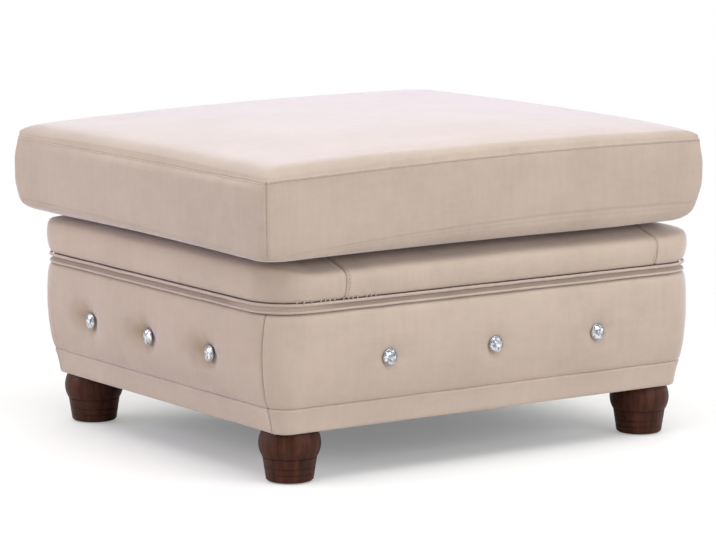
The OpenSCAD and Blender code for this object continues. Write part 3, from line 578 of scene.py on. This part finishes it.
def soften_cushion(rows, outer, out, lift, corners):
    """Fullness, folds, seams at the corners and the pull of the stitches, as shifts along out."""
    level = rows[..., 2]
    on_side = ease((level - DECK_Z - 4)/20)*ease((SEAM_Z + 2 + lift - level)/14)
    uneven = 1.4*wobble(rows, 95.0, 1) + 0.45*wobble(rows, 34.0, 2)
    # soft folds in the boxing near the front left corner
    from_front = rows[..., 1] + CUSHION[1]
    on_left = (rows[..., 0] < -300)*on_side
    folds = np.zeros_like(level)
    for centre, width, depth, lean in ((46, 9, 1.1, 0.10), (78, 12, 1.1, 0.5), (116, 14, 1.0, -0.4),
                                       (172, 18, 0.9, 0.3), (250, 26, 0.9, -0.2)):
        folds -= depth*bump_at(from_front - centre - lean*(level - 360), width)*on_left
    # the left panel swells out of its front corner seam
    away = np.clip(from_front/62.0, 0, 1)
    fuller = 6.5*(1 - (1 - away)**2)*ease((2*CUSHION[1] - from_front)/260)*(rows[..., 0] < -355)
    fuller *= ease((level - DECK_Z)/12)*ease((SEAM_Z + lift - level)/10)
    rows += out[None]*((uneven*on_side + folds + fuller)[..., None])
    # seams down the corners
    reach = np.min([np.linalg.norm(outer - outer[k], axis=1) for k in corners], axis=0)
    rows += out[None]*((0.5*bump_at(reach - 4.5, 3.0) - 1.0*bump_at(reach, 1.1))[None]*ease((level - DECK_Z)/10)
                       * ease((SEAM_Z + 3 + lift - level)/6))[..., None]
    # each top corner is mitred: a short crease runs in from the seam
    rows -= out[None]*(0.9*bump_at(reach, 1.5)[None]*bump_at(level - SEAM_Z - lift - 5, 6))[..., None]
    # along the top seam the cloth is drawn in by the stitches
    along = distance_along(outer)
    pucker = 0.28*np.sin(along/6.4) + 0.25*np.sin(along/9.7 + 1)
    near_seam = bump_at(level - SEAM_Z - lift, 7.0)
    rows += out[None]*(pucker[None]*near_seam)[..., None]


def make_cushion():
    """Returns the line that its top seam is stitched along, with the outward directions."""
    outer, out = ring(CUSHION, CUSHION_R, CUSHION_DRAW)
    lift = seam_lift(outer)
    rows, stitched = cushion_rows(outer, out, lift)
    ends = np.cumsum([0] + [len(p) - 1 for p, _ in loop(CUSHION, CUSHION_R)])
    soften_cushion(rows, outer, out, lift, ends[:4])
    builder = Builder()
    start = builder.grid(rows + CUSHION_AT, closed=True)
    count = rows.shape[1]
    # the underside and the top are closed by a grid between the four sides of the first and the last row
    for row, up in ((0, False), (len(rows) - 1, True)):
        patch = spanned(*[rows[row][np.arange(ends[k], ends[k + 1] + 1) % count] for k in range(4)])
        if up:
            inside = (TOP_HALF - np.abs(patch[..., :2])).min(-1)
            patch[..., 2] = top_height(patch) + 0.9*wobble(patch, 140.0, 3)*ease((inside - 40)/60)
        n, m = patch.shape[:2]
        index = np.zeros((n, m), int)
        ids, i, j = start + row*count, np.arange(n), np.arange(m)
        index[:, 0] = ids + i
        index[:, -1] = ids + ends[2] + i[::-1]
        index[-1] = ids + ends[1] + j
        index[0] = ids + (ends[3] + j[::-1]) % count
        first = builder.add(patch[1:-1, 1:-1] + CUSHION_AT)
        index[1:-1, 1:-1] = first + np.arange((n - 2)*(m - 2)).reshape(n - 2, m - 2)
        builder.quads([index[:-1, :-1], index[1:, :-1], index[1:, 1:], index[:-1, 1:]], not up)
    cushion = builder.make("cushion", VELVET_CUSHION)
    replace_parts(cushion, "cushion_cover", "cushion_wrap", "cushion_foam")
    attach(cushion, "cushion")
    return rows[stitched], out


# ---- base: paths round the waist and the buttoned covers

def rise(z):
    return (z - BAND_TOP)/(WAIST_Z - BAND_TOP)


def swell(z):
    return 8.0*np.sqrt(np.maximum(0.0, np.sin(np.pi*np.clip(rise(z), 0, 1))))


def body_half(z, axis):
    return between(BODY_FOOT[axis], WAIST[axis], rise(z)) + swell(z)


def body_r(z):
    return between(BODY_FOOT_R, WAIST_R, rise(z)) + swell(z)


def cloth_turn(side, z):
    turn = between(6.0, 30.0, (z - BASE_Z)/(WAIST_Z - BASE_Z))
    return np.radians(90.0 - turn if side % 2 == 0 else turn)


# Depth at each of a side's three buttons. The left side is stuffed fuller than the others.
TUFTS = {0: (4.6, 5.0, 4.4), 1: (6.0, 6.5, 6.0), 2: (5.0, 5.5, 5.0), 3: (8.0, 8.4, 7.8)}
FULL_SIDE = 3
BULGE, FULL_BULGE = 3.0, 6.0


def bulge_at(s, z, most=BULGE):
    """How far a stuffed face stands out, at a share s of its half length and a height z."""
    return most*(1 - np.abs(s)**3)*np.sin(np.pi*np.clip(rise(z), 0, 1))


def skin_out(side, s, u, z):
    """How far the cloth of a face stands beyond the straight line between its corners."""
    full = side == FULL_SIDE
    lift = bulge_at(s, z, FULL_BULGE if full else BULGE)
    pitch = BUTTON_PITCH[side % 2]
    for k, depth in zip((-1, 0, 1), TUFTS[side]):
        du, dz = u - k*pitch, z - BUTTON_Z
        d = np.hypot(du, dz)
        angle = np.arctan2(dz, du)
        if full:
            bell = np.exp((BUTTON_R - np.maximum(d, 9.0))/15.0)
        else:
            bell = np.where(d < TUFT_R, (1 + np.cos(np.pi*np.minimum(d, TUFT_R)/TUFT_R))/2, 0.0)**1.25
        folds = np.cos(7*angle + 1.3*k + side)*0.5 + np.cos(4*angle + 2.1*k - side)*0.5
        lift = lift - depth*bell + (0.8 if full else 0.45)*folds*bump_at(d - 19, 8)
        # the pull of the button runs on as a faint dip to its neighbours and down to the band
        lift = lift - 0.7*bump_at(dz, 7)*np.exp(-np.abs(du)/46.0) - 0.6*bump_at(du, 6)*np.exp(-np.abs(dz)/30.0)
    return lift


def face_columns(turn, r, arc, straight):
    """Columns of a face that ends at its corner seams: for each one its share of the straight run, from -1
    to 1, and its angle round the corner, which is 0 on the straight run."""
    seam_gap = 0.3
    end = turn - seam_gap/r
    s = np.concatenate([[-1]*(len(arc) + 1), straight, [1]*(len(arc) + 1)])
    a = np.concatenate([[-end], -end*arc[::-1], 0*straight, end*arc, [end]])
    return s, a


def face_row(s, a, run, across, r, out, z):
    """The points of those columns, where across is the half size in the direction that the face looks in."""
    return np.stack([s*run + (r + out)*np.sin(a), -(across - r) - (r + out)*np.cos(a), np.full_like(a, z)], -1)


def make_body_cover(side):
    z_rows = np.concatenate([[100.5, 102.2, 103.4, 104.6, 106.2, 108.5, 111.5], np.linspace(115, 221, 40),
                             [223.6, 226.4, 229.0, 231.0, 232.4, 233.1]])
    tuck = np.concatenate([[-7.0, -5.0, -3.2, -2.0, -1.2, -0.5, -0.15], np.zeros(40),
                           [-0.15, -0.45, -1.0, -2.0, -3.6, -6.5]])
    arc_steps = 22 if side % 2 == 0 else 12
    arc = 1 - (1 - np.linspace(0, 1, arc_steps + 1)[1:])**1.9
    near, far = side % 2, 1 - side % 2
    run_mid = body_half(BUTTON_Z, near) - body_r(BUTTON_Z)
    straight = np.linspace(-1, 1, int(2*run_mid/3.6))
    points = []
    for z, in_out in zip(z_rows, tuck):
        across, r = body_half(z, far), body_r(z)
        turn, run = cloth_turn(side, z), body_half(z, near) - r
        s, a = face_columns(turn, r, arc, straight)
        to_seam = (turn - np.abs(a))*r + (1 - np.abs(s))*run
        out = skin_out(side, s, s*run, z)*(a == 0)
        body = ease((z - 108)/14)*ease((228 - z)/10)
        out = out - 1.5*bump_at(to_seam, 1.6) + 0.5*bump_at(to_seam - 6, 4)*body + in_out
        out[[0, -1]] -= 5.0
        points.append(face_row(s, a, run, across, r, out, z))
    points = np.array(points)
    inner = ease((points[..., 2] - 106)/8)*ease((228 - points[..., 2])/8)
    shift = (0.7*wobble(points, 70.0, 10 + side) + 0.25*wobble(points, 22.0, 20 + side))*inner
    points[..., 1] -= shift
    # the left face gets the darker copy of the velvet, with its painted shade
    velvet_here = VELVET_LEFT if side == FULL_SIDE else VELVET_BODY
    cover = grid_object(SIDES[side] + "_velvet", turned(points, side) + BASE_AT, velvet_here)
    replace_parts(cover, SIDES[side] + "_cover", SIDES[side] + "_pad")
    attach(cover, "base")


def band_half(z, axis):
    return between(BAND_FOOT[axis], BODY_FOOT[axis], (z - BASE_Z)/(BAND_TOP - BASE_Z))


def make_band_cover(side):
    """Cloth wrapped round the plinth board: turned in at the top, over a soft lower edge and under the base."""
    profile = [(105.2, -8.0), (105.4, -4.0), (105.2, -0.6), (104.6, 1.0), (103.4, 1.7), (101.6, 1.7), (99.0, 1.2),
               (96.0, 0.8), (92.0, 0.5), (88.0, 0.3), (84.0, 0.2), (80.0, 0.2), (76.5, 0.3), (73.5, 0.2),
               (71.6, -0.3), (70.5, -1.2), (70.0, -2.8), (69.8, -5.0)]
    near, far = side % 2, 1 - side % 2
    steps = 14 if side % 2 == 0 else 7
    arc = 1 - (1 - np.linspace(0, 1, steps + 1)[1:])**1.8
    straight = np.linspace(-1, 1, 90 if side % 2 == 0 else 78)
    rows = []
    for z, in_out in profile:
        half, across = band_half(z, near), band_half(z, far)
        r = between(BAND_FOOT_R, BODY_FOOT_R, (z - BASE_Z)/(BAND_TOP - BASE_Z))
        turn = cloth_turn(side, min(z, BAND_TOP))
        s, a = face_columns(turn, r, arc, straight)
        to_seam = (turn - np.abs(a))*r + (1 - np.abs(s))*(half - r)
        out = np.full_like(a, in_out) + 0.8*bump_at(to_seam - 2.6, 1.5) - 1.2*bump_at(to_seam, 1.0)
        out[[0, -1]] -= 4.0
        rows.append(face_row(s, a, half - r, across, r, out, z))
    # under the base the cloth runs in to the edge of the dust cloth
    last = rows[-1]
    limit = FRAME_HALF if side % 2 == 0 else FRAME_HALF[::-1]
    goal = np.stack([np.clip(last[:, 0], -limit[0], limit[0]), np.clip(last[:, 1], -limit[1] + 6, None)], -1)
    for share, z in ((0.35, 69.5), (0.7, 69.4), (1.0, 69.6)):
        lip = last.copy()
        lip[:, :2] = between(last[:, :2], goal, share)
        lip[:, 2] = z
        rows.append(lip)
    points = np.array(rows)[::-1]
    level = points[..., 2]
    points[..., 1] -= 0.45*wobble(points, 46.0, 30 + side)*ease((level - 76)/10)
    points[..., 2] += 0.8*wobble(points, 60.0, 40 + side)*ease((level - 97)/6)
    cover = grid_object(SIDES[side] + "_band_velvet", turned(points, side) + BASE_AT, VELVET_BAND)
    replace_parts(cover, SIDES[side] + "_band_cover")
    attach(cover, "base")


# ---- border, welts and deck

def border_profile():
    """(out from the waist, height) from behind the upper welt, up the upright face, over its soft edge and
    along the gentle slope of the top to the deck seam."""
    return np.array([
        (-7.0, 246.4), (-3.6, 246.6), (-1.8, 247.2), (-0.6, 248.4), (0.9, 250.5), (2.2, 253.5), (3.4, 257.5),
        (4.4, 262.0), (5.0, 266.5), (5.2, 270.5), (5.0, 274.0), (4.5, 277.0), (3.4, 279.6), (1.8, 281.8),
        (-0.4, 283.5), (-3.4, 284.9), (-7.5, 286.2), (-13.0, 287.8), (-20.0, 289.8), (-27.0, 291.8), (-34.0, 293.8),
        (-41.0, 295.8), (-47.0, 297.5), (-51.0, 298.4), (-53.2, 298.4), (-54.3, 297.8), (-54.8, 296.5)])


def waist_path(stretches):
    """Positions and outward directions along the waist line. A stretch is ("line", start, end, step, outward
    direction) or ("turn", centre, from degrees, to degrees, steps)."""
    places, outs = [], []
    for kind, *rest in stretches:
        if kind == "line":
            start, end, step, out = rest
            start, end = np.array(start, float), np.array(end, float)
            n = max(2, int(np.linalg.norm(end - start)/step))
            for t in np.linspace(0, 1, n + 1):
                places.append(between(start, end, t))
                outs.append(out)
        else:
            centre, first, last, n = rest
            for a in np.radians(np.linspace(first, last, n + 1)[1:-1]):
                out = np.array([math.cos(a), math.sin(a)])
                places.append(centre + WAIST_R*out)
                outs.append(out)
    return np.array(places), np.array(outs, float)


def make_border(side):
    ax, ay = WAIST - WAIST_R
    low, high = BORDER_SEAMS if side < 2 else (-BORDER_SEAMS[1], -BORDER_SEAMS[0])
    if side % 2 == 0:
        places, outs = waist_path([("line", (low, -WAIST[1]), (high, -WAIST[1]), 5.0, (0, -1))])
    else:
        x = high + 0.4
        places, outs = waist_path([
            ("line", (x, -WAIST[1]), (ax, -WAIST[1]), 3.0, (0, -1)), ("turn", (ax, -ay), -90, 0, 18),
            ("line", (WAIST[0], -ay), (WAIST[0], ay), 5.0, (1, 0)), ("turn", (ax, ay), 0, 90, 18),
            ("line", (ax, WAIST[1]), (x, WAIST[1]), 3.0, (0, 1))])
    along = distance_along(places)
    # extra columns at both ends, where the cloth turns in to its seam
    ends = np.array([0.0, 0.35, 0.8, 1.4, 2.2])
    total = along[-1]
    keep = (along > 3.2) & (along < total - 3.2)
    stations = np.concatenate([ends, along[keep], total - ends[::-1]])
    places = np.stack([np.interp(stations, along, places[:, k]) for k in (0, 1)], -1)
    outs = np.stack([np.interp(stations, along, outs[:, k]) for k in (0, 1)], -1)
    outs /= np.linalg.norm(outs, axis=1)[:, None]
    to_seam = np.minimum(stations, total - stations)
    profile = border_profile()
    reach = profile[:, :1]
    rows = []
    for p_out, z in profile:
        xy = places + outs*p_out
        if p_out < -20:
            # past the corner's middle the rows follow the deck's own square outline
            deck = WAIST + p_out
            xy[:, 0] = np.clip(xy[:, 0], -deck[0], deck[0])
            xy[:, 1] = np.clip(xy[:, 1], -deck[1], deck[1])
        rows.append(np.concatenate([xy, np.full((len(xy), 1), z)], 1))
    points = np.array(rows)
    # both ends are stuffed fuller, the left one most, so their upper edges lie higher
    fuller = {1: 3.5, 3: 9.0}.get(side, 0.0)*ease((points[..., 0] - 290)/55)
    points[..., 2] += fuller*ease((points[..., 2] - 268)/14)*ease((306 - points[..., 2])/11)
    normal = np.gradient(points, axis=0)
    flat = np.concatenate([outs, np.zeros((len(outs), 1))], 1)[None]
    up = np.array([0, 0, 1.0])
    length = np.hypot((normal*flat).sum(-1), normal[..., 2])[..., None] + 1e-9
    across = (flat*normal[..., 2:3] - up*(normal*flat).sum(-1)[..., None])/length
    level = points[..., 2]
    free = ease((level - 249)/6)*ease((reach + 50)/8)
    shift = (0.9*wobble(points, 80.0, 50 + side) + 0.3*wobble(points, 26.0, 60 + side))*free
    shift -= 1.4*bump_at(to_seam, 1.3)[None]*ease((reach + 52)/6)
    shift += 0.6*bump_at(to_seam - 5.5, 4.0)[None]*free
    shift[:, [0, -1]] -= 4.0
    points = points + across*shift[..., None]
    points[..., 2] = np.minimum(points[..., 2], BORDER_TOP)
    if side > 1:
        points[..., :2] *= -1
    cover = grid_object(SIDES[side] + "_border_velvet", points + BASE_AT, VELVET_BORDER)
    inside = {0: ["border_foam"], 2: ["deck_foam", "spring_felt"]}.get(side, [])
    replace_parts(cover, SIDES[side] + "_border_cover", *inside)
    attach(cover, "base")


def make_welt(name, z, radius, seed):
    places, outs = ring(WAIST, WAIST_R, 0.0, 5.0, 14)
    places[:, 2] = z
    drift = 0.35*wobble(places, 36.0, seed)
    climb = 0.45*wobble(places, 58.0, seed + 1)
    fat = 0.18*wobble(places, 11.0, seed + 2)
    rows = []
    r = radius + fat
    for a in np.radians(np.arange(0, 360, 24)):
        p = places + outs*(drift + r*math.cos(a))[:, None]
        p[:, 2] += climb + r*math.sin(a)
        rows.append(p)
    rows.append(rows[0])
    welt = grid_object(name, np.array(rows) + BASE_AT, VELVET_WELT, closed=True)
    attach(welt, "base")
    return welt


def make_strip():
    """The groove's strip of velvet, slightly full between the two welts."""
    places, outs = ring(WAIST, WAIST_R, 0.0, 5.0, 14)
    # it is stretched shallow round the front left corner and lies deeper along the faces
    corner = np.hypot(places[:, 0] + WAIST[0] - 14, places[:, 1] + WAIST[1] - 14)
    depth = between(0.1, 1.0, ease((corner - 30)/90))[:, None]
    rows = []
    for t in np.linspace(0, 1, 9):
        p = places - outs*(0.6 + 4.6*t**0.75)*depth
        p[:, 2] = between(LOWER_WELT_Z + 1.2, UPPER_WELT_Z - 0.4, t)
        rows.append(p)
    rows = np.array(rows)
    rows += outs[None]*(0.3*wobble(rows, 24.0, 71))[..., None]
    strip = grid_object("groove_strip", rows + BASE_AT, VELVET_STRIP, closed=True)
    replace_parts(strip, "welt_strip")
    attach(strip, "base")


def flat_grid(half, columns, rows):
    """Points over a rectangle, and how far each lies from its ends in X and in Y."""
    gx, gy = np.meshgrid(np.linspace(-half[0], half[0], columns), np.linspace(-half[1], half[1], rows))
    return np.stack([gx, gy, np.zeros_like(gx)], -1), half[0] - np.abs(gx), half[1] - np.abs(gy)


def make_deck_cloth():
    half = WAIST - DECK_SEAM_IN - 0.3
    points, ex, ey = flat_grid(half, 121, 101)
    edge = np.minimum(ex, ey)
    points[..., 2] = 296.6 + 7.8*ease(edge/36)**0.6 - 0.5*bump_at(edge - 9, 1.8)
    points[..., 2] += 0.35*wobble(points, 60.0, 80)*ease(edge/30)
    points[..., 2] = np.minimum(points[..., 2], BORDER_TOP)
    cloth = grid_object("deck_platform", points + BASE_AT, DECK_CLOTH)
    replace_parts(cloth, "deck_cloth")
    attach(cloth, "base")


def make_dust_cloth():
    """Thin cloth tacked under the frame: it sags a little and is drawn up at each staple."""
    points, ex, ey = flat_grid(FRAME_HALF, 141, 121)
    gx, gy = points[..., 0], points[..., 1]
    edge = np.minimum(ex, ey)
    staple = np.where(ex < ey, np.cos(gy*2*np.pi/48), np.cos(gx*2*np.pi/48))
    points[..., 2] = 70.3 - 2.4*ease((edge - 20)/160) + 0.25*staple*bump_at(edge - 10, 9) - 0.4*bump_at(edge, 4)
    points[..., 2] += 0.5*wobble(points, 70.0, 81)*ease(edge/40)
    # and lies flat under each foot
    near = np.hypot(np.abs(gx) - FOOT_AT[0], np.abs(gy) - FOOT_AT[1])
    points[..., 2] = between(70.5, points[..., 2], ease((near - 34)/24))
    cloth = grid_object("dust_cloth", points + BASE_AT, DUST_CLOTH, flip=True)
    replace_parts(cloth, "dust_cover")
    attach(cloth, "base")


# ---- buttons

def button_places():
    """The side, the place along it and the place out from it of each button, as drawn for the front face."""
    for side in range(4):
        near, far = side % 2, 1 - side % 2
        run = body_half(BUTTON_Z, near) - body_r(BUTTON_Z)
        for k in (-1, 0, 1):
            u = k*BUTTON_PITCH[near]
            yield side, u, BUTTON_SINK - body_half(BUTTON_Z, far) - bulge_at(u/run, BUTTON_Z)


def make_buttons():
    cups, stones = Builder(), Builder()
    rim = [(1.2, 0.0), (3.8, 0.0), (7.4, 1.1), (10.6, 2.6), (11.35, 3.4), (11.5, 4.1), (11.2, 4.75), (10.5, 4.95),
           (9.9, 4.7), (9.75, 4.1), (9.75, 3.2), (1.2, 1.4)]
    for number, (side, u, y) in enumerate(button_places()):
        a = np.radians(np.arange(0, 360, 7.5))
        rows = np.array([[(u + r*math.cos(t), y - h, BUTTON_Z + r*math.sin(t)) for t in a] for r, h in rim])
        cups.grid(turned(rows, side) + BASE_AT, closed=True)
        # a round brilliant: girdle, eight kites and sixteen triangles round an eight sided table
        spin = math.radians(17*number)

        def circle(n, r, h, shift=0.0):
            t = np.radians(np.arange(n)*360.0/n + shift) + spin
            points = np.stack([u + r*np.cos(t), np.full(n, y - h), BUTTON_Z + r*np.sin(t)], -1)
            return stones.add(turned(points, side) + BASE_AT)

        girdle, upper = circle(16, 9.7, 3.6), circle(16, 9.7, 4.5)
        kite, table = circle(8, 7.3, 6.3, 22.5), circle(8, 4.7, 7.2)
        for k in range(16):
            stones.faces.append([girdle + k, girdle + (k + 1) % 16, upper + (k + 1) % 16, upper + k])
        for k in range(8):
            n, p = (k + 1) % 8, 2*k
            stones.faces += [[upper + p, upper + p + 1, kite + k], [upper + p + 1, upper + (p + 2) % 16, kite + k],
                             [table + k, kite + k, table + n]]
            stones.faces.append([table + n, kite + k, upper + (p + 2) % 16, kite + n])
        stones.faces.append([table + k for k in range(8)])
        stones.faces.append([girdle + k for k in reversed(range(16))])
    cup = cups.make("button_bezels", CHROME)
    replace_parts(cup, "button_cups")
    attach(cup, "base")
    stone = stones.make("button_crystals", CRYSTAL, smooth=False)
    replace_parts(stone, "button_stones")
    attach(stone, "base")


# ---- stitches and zip

def stitches(name, paths, body, length=3.6, gap=1.5, radius=0.42, material=THREAD):
    """Short raised stitches along paths of (points, outward directions)."""
    verts, faces = [], []
    for places, outs in paths:
        along = distance_along(places)
        starts = np.arange(gap, along[-1] - length - gap, length + gap)
        for s in starts:
            at = np.stack([[np.interp(v, along, places[:, k]) for k in range(3)]
                           for v in (s, s + 0.6, s + length - 0.6, s + length)])
            out = np.array([np.interp(s + length/2, along, outs[:, k]) for k in range(3)])
            out /= np.linalg.norm(out)
            line = at[-1] - at[0]
            line /= np.linalg.norm(line)
            wide = np.cross(line, out)
            base = len(verts)
            verts.append(at[0] - 0.3*out)
            for p in at[1:3]:
                for a in np.radians(np.arange(0, 360, 60)):
                    verts.append(p + radius*(math.cos(a)*wide*1.25 + math.sin(a)*out))
            verts.append(at[3] - 0.3*out)
            for k in range(6):
                n = (k + 1) % 6
                faces += [[base, base + 1 + n, base + 1 + k],
                          [base + 1 + k, base + 1 + n, base + 7 + n, base + 7 + k],
                          [base + 13, base + 7 + k, base + 7 + n]]
    obj = make_object(name, verts, faces, material)
    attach(obj, body)
    return obj


def make_cushion_stitches(seam, out):
    """A fine thread round the top seam. On the left it is pale and thicker: real stitching with a painted highlight
    along that seam, after a light line in the photograph.
    """
    top = np.concatenate([seam, seam[:1]]) + CUSHION_AT
    outs = np.concatenate([out, out[:1]])
    left = np.flatnonzero(outs[:, 0] < -0.9)
    rest = np.roll(np.arange(len(top) - 1), -left[-1])[:len(top) - len(left) + 1]
    for name, part, gap, radius, thread in (("cushion_topstitch", rest, 1.5, 0.42, THREAD),
                                            ("left_topstitch", left, 0.4, 0.7, PAINTED_HIGHLIGHT_THREAD)):
        line = stitches(name, [(top[part] + 0.25*outs[part], outs[part])], "cushion", 3.6, gap, radius, thread)


def make_border_stitches():
    """Beside each seam of the border's long faces, over its soft edge."""
    paths = []
    out, z = border_profile()[4:-5].T
    from_seam = 4.6
    for x in (BORDER_SEAMS[0] + from_seam, BORDER_SEAMS[1] - from_seam):
        for sign in (-1, 1):
            places = np.stack([np.full_like(z, x), sign*(WAIST[1] + out + 0.4), z + 0.1], -1)
            outs = np.stack([np.zeros_like(z), sign*np.gradient(z), -np.gradient(out)], -1)
            paths.append((places + BASE_AT, outs))
    line = stitches("border_topstitch", paths, "base")


def make_hand_stitches():
    """Round the front left corner the border is closed onto the welt by hand, with small slanting threads."""
    places, outs = ring(WAIST, WAIST_R, 0.0, 7.5, 7)
    near = (places[:, 0] > -318) & (places[:, 0] < -190) & (places[:, 1] < 0)
    paths = []
    for k, (p, out) in enumerate(zip(places[near], outs[near])):
        if k % 5 == 3:
            continue
        slant = np.array([-out[1], out[0], 0.0])*(0.8 + 0.8*math.sin(2.3*k))
        low = p + out*1.5 - slant + [0, 0, UPPER_WELT_Z + 1.3]
        high = p + out*1.3 + slant + [0, 0, 250.9 + 0.5*math.sin(3.1*k)]
        paths.append((np.array([low, high]) + BASE_AT, np.array([out, out])))
    line = stitches("corner_hand_stitches", paths, "base", 4.6, 0.1, 0.75, VELVET_WELT)


def make_zip():
    """A lapped zip in the back of the boxing: tape, a fold of cloth over the teeth, and the slider."""
    z, y = DECK_Z + 46.2, CUSHION[1]
    x = np.linspace(-ZIP_LENGTH/2, ZIP_LENGTH/2, 121)
    draw = CUSHION_DRAW*(1 - (x/(CUSHION[0] - CUSHION_R))**2)
    section = [(-6.0, -3.0), (-5.6, -0.4), (-4.2, 0.5), (-2.6, 0.7), (-1.0, 1.4), (0.2, 2.3), (1.4, 2.4), (2.2, 1.7),
               (2.6, 0.9), (4.4, 0.6), (5.6, -0.2), (6.0, -3.0)]
    rows = np.array([np.stack([-x, y - draw - 1.0 + h + 0.12*np.sin(x/5 + dz), np.full_like(x, z + dz)], -1)
                     for dz, h in section])
    tape = grid_object("zip_lap", rows + CUSHION_AT, ZIP_TAPE)
    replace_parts(tape, "cushion_zip")
    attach(tape, "cushion")
    # the slider: a flat body and the ring of its puller
    builder = Builder()
    profile = [(0.2, 0.0), (3.4, 0.0), (4.0, 0.8), (4.0, 1.8), (3.3, 2.5), (0.2, 2.6)]
    a = np.radians(np.arange(0, 360, 15))
    end = ZIP_LENGTH/2
    rows = np.array([[(end - 10 + 1.3*r*math.cos(t), y - 1.5 + h, z - 3 + 0.8*r*math.sin(t)) for t in a]
                     for r, h in profile])
    builder.grid(rows[:, ::-1] + CUSHION_AT, closed=True)
    rows = np.array([[(end - 22 + (9 + 1.5*math.cos(s))*math.cos(t), y + 0.6 + 0.9*math.sin(s),
                       z - 3 + (3 + 1.2*math.cos(s))*math.sin(t)) for t in a]
                     for s in (k*math.pi/3 for k in range(7))])
    builder.grid(rows + CUSHION_AT, closed=True)
    slider = builder.make("zip_slider", STEEL)
    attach(slider, "cushion")


# ---- assembly

make_cushion_stitches(*make_cushion())
make_zip()
for side in range(4):
    make_body_cover(side)
    make_band_cover(side)
    make_border(side)
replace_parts(make_welt("upper_welt_cord", UPPER_WELT_Z, UPPER_WELT_R, 90), "upper_welt")
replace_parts(make_welt("lower_welt_cord", LOWER_WELT_Z, LOWER_WELT_R, 95), "lower_welt")
make_strip()
make_deck_cloth()
make_dust_cloth()
make_buttons()
make_border_stitches()
make_hand_stitches()

KEPT = {
    WALNUT: "foot_front_left foot_front_right foot_back_left foot_back_right",
    PLASTIC: "glides",
    STEEL: "hanger_bolts t_nuts zigzag_springs spring_clips clip_nails frame_screws",
    PLYWOOD: "front_panel back_panel left_panel right_panel foot_plates "
             "front_band_board back_band_board left_band_board right_band_board",
    PINE: "front_spring_rail back_spring_rail left_top_rail right_top_rail bottom_rails corner_posts waist_battens",
    TWINE: "button_twines",
}
for material, names in KEPT.items():
    for name in names.split():
        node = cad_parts[name]
        if not node.material_slots:
            node.data.materials.append(material)
        for place in node.material_slots:
            place.material = material
